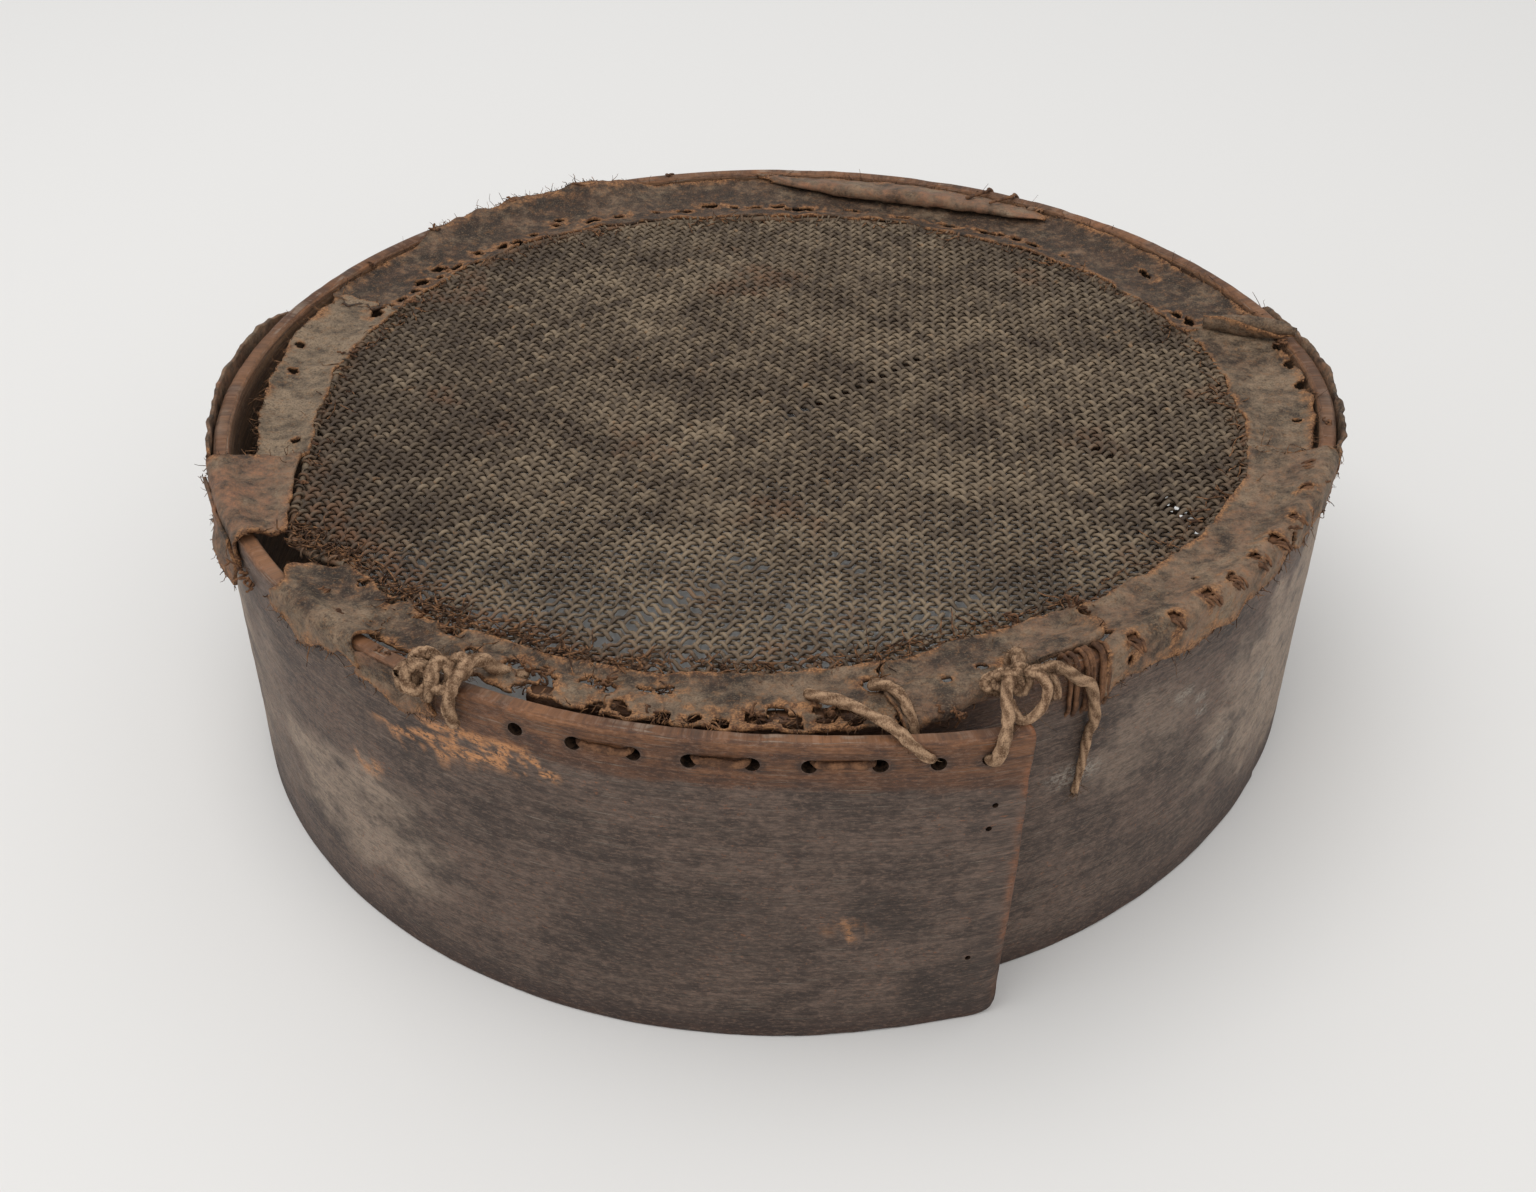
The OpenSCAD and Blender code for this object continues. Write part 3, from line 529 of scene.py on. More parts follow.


# %% [markdown]
# ## The finish of the wood
# The wood is dark with age and handling, and its grain runs round the hoop. The grain is noise stretched
# about forty times longer than it is wide, on the board's own UV map, so it bends with the board. The marks
# that the board's mesh carries mix in the worn and dirty places, and a painted sheen on the left and right.

# %% Wood
def paint_wood(start):
    where = in_mm(start, "UV")
    long_grain = grainy(where, (70, 1.5, 1), 1, 4, 0.65)
    fine_grain = grainy(where, (16, 0.4, 1), 2, 3, 0.6)
    broad = grainy(where, (46, 30, 1), 3, 4, 0.6)
    blotch = grainy(where, (11, 7, 1), 4, 5, 0.68)
    speck = grainy(where, (1.8, 1.2, 1), 5, 3, 0.7)
    mottle = grainy(where, (5, 3.2, 1), 7, 5, 0.74)
    fleck = grainy(where, (2.4, 0.9, 1), 9, 4, 0.75)
    scratch = grainy(where, (22, 0.45, 1), 6, 2, 0.5).between(0.59, 0.66) * blotch.between(0.42, 0.56)
    tan = (long_grain * 0.5 + blotch * 0.5).between(0.38, 0.62)
    base = (long_grain * 0.25 + broad * 0.4 + blotch * 0.35).between(0.42, 0.58)
    inner_wood = long_grain.between(0.35, 0.65).mix(rgb(84, 60, 42), rgb(128, 98, 70))
    colour = layered(base.mix(rgb(55, 43, 37), rgb(98, 80, 70)), [
        # Greyish bloom, and painted sheen on the left and right sides.
        (mark(start, "bloom_and_sheen") * (broad * 0.5 + blotch * 0.5).between(0.3, 0.62) * 0.85, rgb(178, 158, 138)),
        ((blotch * 0.6 + broad * 0.4).between(0.5, 0.64) * 0.4, rgb(54, 43, 38)),
        (mottle.between(0.51, 0.59) * 0.26, rgb(122, 102, 90)),
        (mottle.between(0.49, 0.42) * 0.34, rgb(56, 43, 37)),
        (mark(start, "bare") * 0.9, tan.mix(rgb(62, 39, 26), rgb(98, 63, 40))),
        (mark(start, "inside") * 0.8, inner_wood),
        (mark(start, "rim") * blotch.between(0.28, 0.46) * 0.9, tan.mix(rgb(84, 53, 33), rgb(134, 90, 58))),
        (mark(start, "scrape") * (speck * 0.6 + mottle * 0.4).between(0.4, 0.52) * 0.95, rgb(196, 138, 90)),
        (mark(start, "pale") * speck.between(0.42, 0.56) * 0.7, rgb(158, 150, 138)),
        (mark(start, "edge") * blotch.between(0.36, 0.52) * 0.7, rgb(140, 88, 56)),
        (speck.between(0.6, 0.7) * broad.between(0.46, 0.56) * 0.65, rgb(140, 86, 52)),
        (scratch * 0.4, rgb(152, 140, 126)),
        (mark(start, "low") * blotch.between(0.26, 0.46) * 0.85, rgb(50, 36, 31)),
        (mark(start, "dirt") * blotch.between(0.3, 0.56) * 0.85, rgb(40, 32, 28)),
        (fleck.between(0.53, 0.61) * 0.26, rgb(146, 118, 100)),
        (fleck.between(0.48, 0.4) * 0.3, rgb(42, 31, 26)),
        (fine_grain.between(0.55, 0.7) * 0.3, rgb(48, 37, 31))])
    rough = blotch * 0.3 + 0.48 - mark(start, "bare") * 0.05
    height = long_grain * 0.4 + fine_grain * 0.45 + speck * 0.3 + blotch * 0.5 - scratch * 0.4
    return colour, rough, height


WOOD = finish("old_wood", paint_wood, specular=0.36, depth=0.0007)

# %% [markdown]
# ## The lacing holes
# A Boolean with plain round cutters bores the holes, which keeps their rims crisp. The new walls take the
# cutter's second material, a sooty brown that paints the shade inside the holes as well as their dirt.

# %% Bore the holes
# Painted shade: near-black browns for the walls inside the holes.
def paint_bored_shade(start):
    spot = grainy(in_mm(start), 2, 8, 3, 0.6)
    return spot.between(0.38, 0.62).mix(rgb(20, 14, 11), rgb(50, 37, 28)), spot * 0.1 + 0.8, spot


BORED_SHADE = finish("bored_wood_shade", paint_bored_shade, specular=0.05, depth=0.0002)


def pins(angles, heights, size, reach=9):
    """Round cutters through the board, square to its face."""
    r = board_r(angles)
    paths = np.stack([polar(r - reach, angles, heights), polar(r + reach, angles, heights)], 1)
    return tubes("cutter", paths, size, 18, (0, 0, 1))


NAIL_HOLES = np.array([(287.4, 113.6), (287.1, 102.6), (286.8, 35.3)])
cutters = [pins(front(HOLES), HOLE_Z + 0.5 * noise(HOLES, 0, 3), 2.75),
    pins(NAIL_HOLES[:, 0], NAIL_HOLES[:, 1], 1.1)]
for cutter in cutters:
    cutter.data.polygons.foreach_set("material_index", np.ones(len(cutter.data.polygons), np.int32))
    bore = board.modifiers.new("bore", "BOOLEAN")
    bore.operation, bore.object, bore.solver = "DIFFERENCE", cutter, "EXACT"
for piece in [board] + cutters:
    piece.data.materials.append(WOOD)
    piece.data.materials.append(BORED_SHADE)
settle(board)
for cutter in cutters:
    bpy.data.objects.remove(cutter)
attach(board, "root")
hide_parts("hoop")
bored = sum(polygon.material_index == 1 for polygon in board.data.polygons)
print("board faces", len(board.data.polygons), "bored", bored)

# %% [markdown]
# ## The finishes of gut, hide and cord
# Gut and hide are both raw skin. The gut strands are dark with a drier, lighter back, and they carry painted
# shade where they dip under the strands that cross them. The hide is greyer, mottled in spots from 1 to 30
# mm, with a crusty orange-brown edge wherever it has torn. The cord is spun of matted hair, so its colour and
# bump follow stretched noise along its length.

# %% Gut, hide and cord
def paint_gut(start):
    where = in_mm(start)
    broad = grainy(where, 42, 11, 4, 0.6)
    spot = grainy(where, 6, 12, 4, 0.65)
    fine = grainy(where, 0.7, 13, 3, 0.6)
    base = (broad * 0.5 + spot * 0.5).between(0.36, 0.64).mix(rgb(72, 59, 47), rgb(134, 117, 96))
    colour = layered(base, [
        (fine.between(0.5, 0.68) * 0.35, rgb(142, 127, 106)),
        # Painted shade in the dips of the weave, over the strands' random tone.
        (mark(start, "tone_and_shade") * 0.7, rgb(54, 42, 33)),
        (mark(start, "red") * spot.between(0.38, 0.62) * 0.8, rgb(106, 74, 52)),
        (spot.between(0.64, 0.72) * 0.5, rgb(138, 102, 68))])
    return colour, spot * 0.4 + 0.45, fine * 0.6 + spot


def paint_hide(start):
    where = in_mm(start)
    broad = grainy(where, 26, 21, 4, 0.62)
    spot = grainy(where, 5.5, 22, 5, 0.7)
    pore = grainy(where, 0.8, 23, 3, 0.6)
    flake = grainy(where, (3, 3, 1.6), 25, 5, 0.75)
    shade = mark(start, "light") * 0.6 + broad * 1.3 + spot * 1.3 - 1.13
    reddish = (flake * 0.4 + spot * 0.3 + pore * 0.3).between(0.36, 0.64)
    reddish = reddish.mix(rgb(84, 63, 55), rgb(152, 108, 80))
    crust = (mark(start, "wear") * 1.4 + spot * 1.5 + pore * 0.4 - 1.35).between(0.0, 0.85)
    crusty = (pore * 0.4 + flake * 0.6).between(0.4, 0.62).mix(rgb(84, 52, 34), rgb(180, 132, 90))
    colour = layered(shade.between(0.05, 0.85).mix(rgb(46, 38, 32), rgb(138, 119, 98)), [
        (flake.between(0.52, 0.66) * 0.45, rgb(136, 98, 64)),
        (grainy(where, 2.2, 24, 4, 0.7).between(0.55, 0.66) * 0.6, rgb(46, 36, 30)),
        (pore.between(0.52, 0.62) * 0.42, rgb(42, 33, 27)),
        (pore.between(0.46, 0.34) * 0.3, rgb(156, 134, 108)),
        (mark(start, "red") * (broad * 0.4 + spot * 0.6).between(0.3, 0.62) * 0.95, reddish),
        (crust * 0.92, crusty),
        (flake.between(0.58, 0.68) * mark(start, "wear") * 0.8, rgb(42, 30, 24))])
    return colour, spot * 0.3 + 0.5, spot * 0.9 + pore * 0.5 + broad * 0.3 + flake * mark(start, "wear") * 1.5


def paint_cord(start):
    where = in_mm(start)
    strand = start.node("TexCoord", out=2)
    length = start.node("SeparateXYZ", inputs={0: strand}, out=0) * 6.0
    round_it = start.node("SeparateXYZ", inputs={0: strand}, out=1) * 18.85
    spot = grainy(where, 4, 31, 3, 0.6)
    hair = grainy(where, 0.5, 32, 3, 0.65)
    turn = length + round_it + spot * 4
    twist = turn.maths("SINE", turn, 0.0) * 0.5 + 0.5
    colour = (spot * 0.6 + twist * 0.2 + 0.1).between(0.32, 0.68).mix(rgb(96, 71, 52), rgb(174, 142, 113))
    colour = layered(colour, [
        (hair.between(0.5, 0.68) * 0.5, rgb(186, 158, 130)),
        (hair.between(0.5, 0.36) * 0.45, rgb(70, 50, 37))])
    return colour, spot * 0.2 + 0.7, hair * 0.8 + twist * 0.6


def paint_thong(start):
    where = in_mm(start)
    spot = grainy(where, 5, 33, 4, 0.6)
    fine = grainy(where, 0.7, 34, 3, 0.6)
    colour = spot.between(0.36, 0.64).mix(rgb(74, 51, 37), rgb(126, 90, 64))
    colour = (fine.between(0.54, 0.68) * 0.5).mix(colour, rgb(56, 40, 31))
    return colour, spot * 0.2 + 0.6, fine + spot


GUT = finish("gut_strand", paint_gut, specular=0.3, depth=0.0003)
HIDE = finish("old_hide", paint_hide, specular=0.22, depth=0.0009)
CORD = finish("felted_cord", paint_cord, specular=0.12, depth=0.0004)
THONG = finish("worn_thong", paint_thong, specular=0.2, depth=0.0005)
tail.data.materials.append(CORD)

# %% [markdown]
# ## The net
# Each strand of the net passes over and under the strands that cross it. Its height is a cosine along its
# length whose sign changes from strand to strand, and the other set has the opposite sign, so they never
# meet. The whole net is then pulled out of shape by slow clouds that both sets share. A mask says which
# rings of a strand are there: inside the net's edge, and not where a strand has broken out.

# %% The net's edge
NET_EDGE = [(-180, 195.8), (-173, 197), (-166, 199), (-160, 203.5), (-156, 208.5), (-152, 213.5),
    (-149, 218), (-146.5, 218.5), (-144.5, 216), (-142, 211), (-138.6, 207.5), (-132.5, 209),
    (-127.4, 208.5), (-122, 205.5), (-118, 203.5), (-108.5, 204), (-103, 202.5), (-96.5, 199.5), (-89, 197),
    (-82, 195.5), (-77.7, 192.9), (-72.6, 190.6), (-67.3, 188.3), (-62, 188.8), (-54, 191.5), (-41, 193),
    (-37, 195), (-31, 196), (-26, 197.3), (-20, 199), (-15, 198.6), (-5, 196.8), (0, 194.4), (12, 195.4),
    (17, 193), (25, 191.5), (40, 190), (53, 186.7), (60, 185), (68, 186), (75, 186), (84, 184), (94, 183),
    (103, 185), (113, 189), (119, 192), (126, 195.5), (137, 195), (148, 194), (162, 193.5), (173, 196),
    (180, 195.8)]


def turned(angle):
    """The same angle between -180 and 180 degrees."""
    return (np.asarray(angle, float) + 180) % 360 - 180


def net_edge(angle):
    return table(turned(angle), NET_EDGE)


# %% Woven strands
PITCH, RISE = 3.8, 0.85
WAY = [np.array([np.cos(np.radians(t)), np.sin(np.radians(t))]) for t in (42, 131)]
BROKEN = [((-62.5, -186.9), (-23.9, -134.7)), ((0.1, -14.7), (68.2, 36.1)), ((149, -76.8), (164.2, -101.9)),
    ((129.8, -42.2), (137, -50.1)), ((20, -122), (34, -133)), ((-12, -126), (-3, -136)),
    ((-84, -150), (-76, -159)), ((-20, -124), (-9, -133)), ((-46, -164), (-30, -143)),
    ((60, -160), (76, -148)), ((152, -85), (160, -98))]
WAY_ACROSS = np.array(WAY).T


def net_xy(s, t):
    """A place on the net from its two strand numbers in mm, moved by two slow clouds."""
    x, y = (s * WAY[0][k] + t * WAY[1][k] for k in (0, 1))
    return x + 2.4 * cloud(x / 45, y / 45, 21, 3), y + 2.4 * cloud(x / 45, y / 45, 22, 3)


def net_z(x, y):
    """The net sags a little towards its middle and is uneven."""
    return NET_Z - 2.2 * (1 - np.hypot(x, y) ** 2 / 200**2) + 1.3 * cloud(x / 60, y / 60, 23, 2)


def strand_set(which, part):
    """Paths, side vectors, widths and masks of one half of a set of strands."""
    j = np.arange(-57, 1) if part == 0 else np.arange(1, 58)
    steps = np.arange(-220, 220.1, PITCH / 4)
    run, line = np.broadcast_arrays(steps[None], j[:, None] * PITCH)
    line = line + 0.45 * noise(run / 22, j[:, None] * 3.7, 24 + which)
    s, t = (run, line) if which == 0 else (line, run)
    x, y = net_xy(s, t)
    sign = (1 - 2 * (j[:, None] % 2)) * (1 if which == 0 else -1)
    z = net_z(x, y) + sign * RISE * np.cos(np.pi * run / PITCH)
    paths = np.stack([x, y, z], -1)
    angle = np.degrees(np.arctan2(y, x))
    frayed = net_edge(angle) + 0.8 + 1.5 * noise(j[:, None] * 5.3, np.sign(run), 25)
    away = np.hypot(x, y)
    keep = away < frayed
    loose = smooth(-y, 95, 185) * smooth(away, 130, 190)
    keep &= noise(run / 9 + 31 * which, j[:, None] * 4.1, 26) + 0.42 * loose < 0.985
    for first, last in BROKEN:
        ends = np.linalg.solve(WAY_ACROSS, np.array([first, last]).T)
        if np.argmax(np.abs(ends[:, 1] - ends[:, 0])) == which:
            number = np.round(ends[1 - which].mean() / PITCH)
            low, high = np.sort(ends[which])
            keep &= ~((j[:, None] == number) & (run > low) & (run < high))
    thin = 1 - 0.2 * smooth(-y, 70, 150)
    width = 1.14 * (1 + 0.14 * noise(run / 16, j[:, None] * 2.9, 27 + which)) * thin
    side = np.array([-WAY[which][1], WAY[which][0], 0])
    under = 0.5 - 0.5 * sign * np.cos(np.pi * run / PITCH)
    # A random tone, plus painted shade where the strand dips under (from under). The strands are also lighter
    # towards the front and darker towards the left.
    tone_and_shade = clipped(0.2 + 0.75 * under + 0.8 * noise(run / 40, j[:, None] * 6.1, 28 + which)
        - 0.6 * smooth(-y, 90, 160) + 0.6 * smooth(-x, 90, 150))
    red = clipped(smooth(away, 176, 204) * smooth(-y, 40, 150) + 0.4 * smooth(away, 186, 200)
        + 0.7 * smooth(cloud(x / 30, y / 30, 29), 0.3, 0.6))
    return paths, width, side, keep, {"tone_and_shade": tone_and_shade, "red": red}


for which, node in enumerate(["net_warp", "net_weft"]):
    for part in (0, 1):
        paths, width, side, keep, marks = strand_set(which, part)
        piece = tubes(f"{node}_{part + 1}", paths, width, 5, side, keep, 0.7, marks)
        piece.data.materials.append(GUT)
        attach(piece, "root")
        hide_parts(node)
        print(node, "strands", len(paths), "faces", len(piece.data.polygons))

# %% [markdown]
# ## The edge cord and its binding
# A strand runs round the net's edge. Short threads go round it and through the hide, one for every strand
# or so. Each is three quarters of a small ring, leaning a little, and no two lean alike.

# %% Edge cord
round_a = np.linspace(-180, 180, 721)
edge_path = polar(net_edge(round_a) + 1.6 + 0.5 * noise(round_a / 3, 0, 41), round_a,
    NET_Z + 0.5 * noise(round_a / 4, 9, 42))
edge_path[-1] = edge_path[0]
edge_cord = tubes("net_edge_cord_strand", edge_path, 1.45 + 0.3 * noise(round_a / 1.7, 0, 43), 8, (0, 0, 1),
    marks={"tone_and_shade": np.full(len(round_a), 0.4), "red": clipped(0.5 + noise(round_a / 9, 0, 44))})
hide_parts("net_edge_cord")

bind_a = np.arange(-179.4, 180, 1.25)[:, None]
bind_turn = np.radians(np.linspace(-150, 110, 10))[None]
lean = 0.8 * noise(bind_a * 3.1, 0, 45)
bind_r = net_edge(bind_a) + 1.6 + (2.2 + 0.8 * noise(bind_a * 2, 1, 46)) * np.sin(bind_turn)
bind_paths = polar(bind_r, bind_a + 0.5 * noise(bind_a, 5, 47) + lean * (bind_turn / 2),
    NET_Z + 2.1 * np.cos(bind_turn))
bind_marks = {"tone_and_shade": clipped(0.5 + noise(bind_a, 3, 49)), "red": clipped(0.6 + noise(bind_a / 5, 3, 50))}
binding = tubes("net_binding", bind_paths, 0.5 + 0.25 * noise(bind_a * 1.3, 2, 48), 5,
    polar(1, bind_a + 90, 0), marks=bind_marks)
for piece in (edge_cord, binding):
    piece.data.materials.append(GUT)
    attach(piece, "root")
print("binding threads", len(bind_a))

# %% [markdown]
# ## Sheets of torn hide
# Each piece of hide is one surface: at every angle a line runs outwards from the net, and corner cutting
# makes that line a soft curve. Clouds move the surface along its own normal for the wrinkles, and move its
# borders for the torn edge. Holes are faces that are left out. The border that this leaves is stepped, so a
# Smooth modifier softens it before Solidify gives the hide its thickness.

# %% Hide helpers
def corner_cut(line, times=2):
    """Each span of a line keeps the points at a quarter and three quarters of its length."""
    for _ in range(times):
        a, b = line[:, :-1], line[:, 1:]
        cut = np.stack([0.75 * a + 0.25 * b, 0.25 * a + 0.75 * b], 2).reshape(len(line), -1, 2)
        line = np.concatenate([line[:, :1], cut, line[:, -1:]], 1)
    return line


def even_steps(line, columns):
    """Points at equal steps along every row's line, judged by the rows' mean lengths."""
    length = np.linalg.norm(np.diff(line, axis=1), axis=-1)
    mean = np.concatenate([[0], np.cumsum(length.mean(0))])
    place = np.interp(np.linspace(0, mean[-1], columns), mean, np.arange(len(mean)))
    k = np.minimum(place.astype(int), len(mean) - 2)
    part = (place - k)[None, :, None]
    return line[:, k] * (1 - part) + line[:, k + 1] * part, mean[-1]


def lines(*points):
    """Control lines from (radius, height) pairs, each a number or an array over the angles."""
    rows = max(np.size(value) for point in points for value in point)
    return np.stack([np.stack([np.broadcast_to(value, rows) for value in point], -1) for point in points], 1)


TORN = []


def no_slant(share):
    return 0 * share


def hide_piece(name, nodes, first, last, line, seed, ends=1.6, wrinkle=0.6, curl=0.0, holes=(), light=0.5,
        red=0.0, rests=("hoop_board",), worn=5.0, inner=True, start=no_slant, stop=no_slant, whole=(1, 1),
        jagged=1.0, ribs=0.0, slot="hide"):
    """A torn sheet between two angles.

    line(angles) gives its control lines from the inner to the outer border, and start and stop move its
    two ends across it. A hole is an angle, a radius, a size and, where it is long, how many times as long.
    """
    rows = int((last - first) / 0.3) + 2
    a = np.linspace(first, last, rows)
    soft, width = even_steps(corner_cut(line(a)), 3)
    columns = int(width / 1.15) + 2
    soft, width = even_steps(corner_cut(line(a)), columns)
    long = np.radians(last - first) * soft[..., 0].mean()
    share = np.linspace(0, 1, columns)[None]
    row = np.linspace(0, 1, rows)[:, None]
    jag = [ends * cloud(share * width / 7, 3.0 + k, seed + k) for k in (0, 1)]
    angle = a[:, None] + start(share) * (1 - row) + stop(share) * row
    angle = angle + jag[0] * (1 - row) ** 6 + jag[1] * row**6
    x, y = np.broadcast_arrays(long * row, width * share)
    tooth = jagged * (1.7 * cloud(x / 9, 1.0, seed + 2) + 0.9 * cloud(x / 3, 4.0, seed + 2))
    tooth = tooth * share**8 - 1.2 * cloud(x / 5, 2.0, seed + 3) * (1 - share) ** 8
    points = polar(soft[..., 0], angle, soft[..., 1])
    ways = unit(np.gradient(points, axis=1))
    up = unit(np.cross(ways, unit(np.gradient(points, axis=0))))
    points = points + ways * tooth[..., None]
    bumps = wrinkle * (0.9 * cloud(x / 9, y / 26, seed + 4) + 0.5 * cloud(x / 4, y / 5, seed + 5))
    bumps = bumps + ribs * noise(x / 3.1 + 0.9 * noise(x / 20, y / 12, seed), y / 40, seed + 11)
    border = np.minimum(np.minimum(x, long - x), width - y)
    lift = curl * smooth(-border, -6, 0) * (0.5 + 0.9 * cloud(x / 11, y / 11, seed + 6))
    points = points + up * (bumps + lift)[..., None]
    torn = np.minimum(np.minimum(x * whole[0], (long - x) * whole[1]), width - y)
    torn = np.minimum(torn, y * 1.6 if inner else torn)
    wear = np.exp(-torn / worn) * (0.8 + 0.9 * cloud(x / 9, y / 9, seed + 7))
    gone = np.zeros(x.shape, bool)
    for where, distance, size, *stretch in holes:
        dx = np.radians(angle - where) * soft[..., 0] / (stretch[0] if stretch else 1)
        away = np.hypot(dx, soft[..., 0] - distance) / (size * (1 + 0.75 * noise(x / 2.4, y / 2.4, seed + 8)))
        gone |= away < 1
        wear = np.maximum(wear, np.exp(-np.maximum(away - 1, 0) * 0.55))
    quads = grid_quads(rows, columns)
    there = ~(gone[:-1, :-1] | gone[1:, 1:] | gone[1:, :-1] | gone[:-1, 1:])
    light = light + 0.4 * cloud(x / 35, y / 20, seed + 9) + 0.25 * ribs * noise(x / 3.1, y / 30, seed + 11)
    red = red * (0.8 + 1.2 * cloud(x / 9, y / 6, seed + 10))
    marks = {"wear": clipped(wear), "light": clipped(light), "red": clipped(red)}
    piece = add_mesh(name, points, quads[there], marks=marks)
    calm = piece.modifiers.new("calm", "SMOOTH")
    calm.factor, calm.iterations = 0.5, 2
    thick = piece.modifiers.new("thick", "SOLIDIFY")
    thick.thickness, thick.offset = 1.4 * MM, -1
    settle(piece)
    piece.data.materials.append(HIDE)
    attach(piece, "root")
    if nodes:
        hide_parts(*nodes)
    corner = [points.reshape(-1, 3)[quads[there][:, k]] for k in range(4)]
    area = 0.5 * np.linalg.norm(np.cross(corner[2] - corner[0], corner[3] - corner[1]), axis=1).sum()
    cut = (max(width, area / long * 1.002), long)
    cut[0] * MM
    cut[1] * MM
    TORN.append((points[:, -1], ways[:, -1]))
    TORN.append((points[0, ::2], -unit(points[1, ::2] - points[0, ::2])))
    TORN.append((points[-1, ::2], unit(points[-1, ::2] - points[-2, ::2])))
    print(f"{name}: cut {cut[1]:.0f} x {cut[0]:.0f} mm, {area / 100:.0f} cm2")
    return piece


def rag(a, size, seed):
    """A ragged amount along the angle, for a torn border."""
    return size * cloud(a / 2.2, 0.0, seed)


# %% [markdown]
# ## The hide round the net
# The left band has torn off the hoop and bares the board's top edge. The back band hangs a little below it.
# On the right and at the front left the hide is still folded over the edge and hangs outside as a skirt.
# A line function gives a band's section at each angle, and a table of holes follows the real ones. IN_R is
# just inside the board's inner face, LIFT is how far a band lies over the board's top edge, and START_Z is
# the height at which every band leaves the edge cord.

# %% Bands
IN_R = HOOP_R - WALL - 0.35
LIFT = 1.1
START_Z = NET_Z + 2.8


def inner(a):
    """Where the hide begins, just over the edge cord, scalloped by the binding."""
    return net_edge(a) + 1.6 + 0.6 * np.sin(np.radians(a) * 31) + rag(a, 1.0, 60)


def folded(a, skirt_z, face, begin):
    """From a first radius over the board's top edge and down its face to a height."""
    seat = face - WALL
    return lines((begin, START_Z), ((begin + seat) / 2, NET_Z + 2.2), (seat - 1.5, HOOP_H - 0.6),
        (face - 5.5, HOOP_H + 1.7), (face - 1.6, HOOP_H + 1.9), (face + 1.9, HOOP_H - 0.5),
        (face + 1.9, (HOOP_H + skirt_z) / 2), (face + 1.8, skirt_z))


LEFT_OUT = [(157, 229), (165, 228), (180, 224), (190, 222.5), (197, 222)]


def left_line(a):
    """The left band stops short of the board."""
    return lines((inner(a), START_Z), (inner(a) + 12, NET_Z + 0.8),
        (table(a, LEFT_OUT) + rag(a, 1.5, 61), 141.5))


hide_piece("hide_left", ["hide_band_left"], 157.5, 197.5, left_line, 62, wrinkle=0.8, curl=1.6, light=0.66,
    ribs=0.5, worn=4.0, whole=(4, 1), rests=["net_edge_cord_strand"],
    holes=[(192.8, 207.2, 0.9), (176, 218, 1.5), (170, 222, 1.3), (160, 203, 2.2), (158.5, 206, 2.0)])


def back_line(a):
    """The back band lies inside the board, but climbs over its top edge between 108 and 142 degrees."""
    over = smooth(a, 106, 114) * smooth(-a, -144, -137) * (0.85 + 0.3 * cloud(a / 3, 0, 62))
    edge = IN_R - 1.2 + rag(a, 1.2, 63)
    return lines((inner(a), START_Z), (inner(a) + 12, NET_Z + 0.8 + over), (IN_R - 9, 140.6 + 2.6 * over),
        (edge - 1 + over, 141.8 + 5.2 * over), (edge + 7 * over, 141.8 + 5.2 * over))


back_holes = [(100.8, 203, 1.6, 2.5), (94.3, 196.8, 1.5, 3), (87.3, 195.5, 1.7, 4), (90.5, 199, 1.2, 2),
    (97, 199, 1.2, 2), (64, 196, 1.5, 3), (57.7, 197.5, 1.6, 2.6), (55.4, 199.5, 1.5, 1.4),
    (53.1, 200, 1.5, 1.8), (49.9, 198.1, 1.5, 2), (157.4, 202, 1.5, 2.2), (154.5, 200.4, 1.5, 1.6),
    (152.1, 200.7, 1.4, 1.6), (149, 204, 2, 1.5), (144.7, 208, 2.2, 1.7), (143, 201.3, 1.7, 2.4),
    (146.5, 200.5, 1.4, 2), (137.9, 205, 1.8, 1.2), (134.2, 202.5, 1.8, 2.2), (131.8, 200.5, 1.6, 2),
    (128.6, 203.5, 1.2, 1), (124.1, 207.5, 1.5, 1.6), (123, 211.5, 1.3, 1.3), (118.9, 202.5, 1.8, 1.8),
    (114.6, 202, 1.6, 1.6), (109, 199.5, 1.2, 2.4), (105, 198, 1.2, 2.2), (79, 197.5, 1.1, 2.4),
    (71, 195.5, 1.1, 3), (34, 216, 1.6, 2.2), (22, 201, 1.8, 1.8), (19.6, 203.5, 2.2, 1.4),
    (40.5, 197, 1.1, 1.2), (44.5, 199, 1.2, 1.2)]
hide_piece("hide_back", ["hide_band_back"], 17, 158.6, back_line, 64, wrinkle=0.8, curl=1.4, light=-0.2,
    red=0.2, whole=(1, 5), holes=back_holes)


def side_line(a):
    """The side band ends on the board's inner face."""
    board_in = board_r(a) - WALL
    return lines((inner(a), START_Z), (inner(a) + 12, NET_Z + 1.6), (board_in - 8, 141),
        (board_in - 1.6 + rag(a, 1.6, 65), 142.4))


hide_piece("hide_side", ["hide_band_side"], -13.8, 17.9, side_line, 66, wrinkle=0.8, curl=1.2, light=0.48,
    red=0.15, ribs=0.4, whole=(5, 1), holes=[(6, 229.5, 1.6, 2.2), (1, 229, 1.3, 2), (10, 230, 1.2, 2.4),
    (-6, 222, 1.0)])
RIM_STITCHES = [(-17.1, 224), (-22.1, 225), (-27.9, 224.5), (-33, 224.6), (-37, 222.5), (-41.5, 221.5),
    (-45.3, 221), (-50.6, 221), (-56, 222)]
RIGHT_LOW = [(-60, 122), (-55.4, 131), (-48.5, 129), (-40.6, 129.5), (-35, 132), (-30.6, 138), (-26, 136),
    (-20.4, 132.5), (-14, 131)]
right_holes = [(w, r, 2.1 + 0.4 * np.sin(w * 7)) for w, r in RIM_STITCHES[1:]]
right_holes += [(-47.5, 229, 1.2), (-39, 231, 1.4), (-30.5, 230, 1.3), (-43, 210, 0.9), (-25, 232, 1.2)]


def right_line(a):
    return folded(a, table(a, RIGHT_LOW) + rag(a, 3, 67), board_r(a), inner(a))


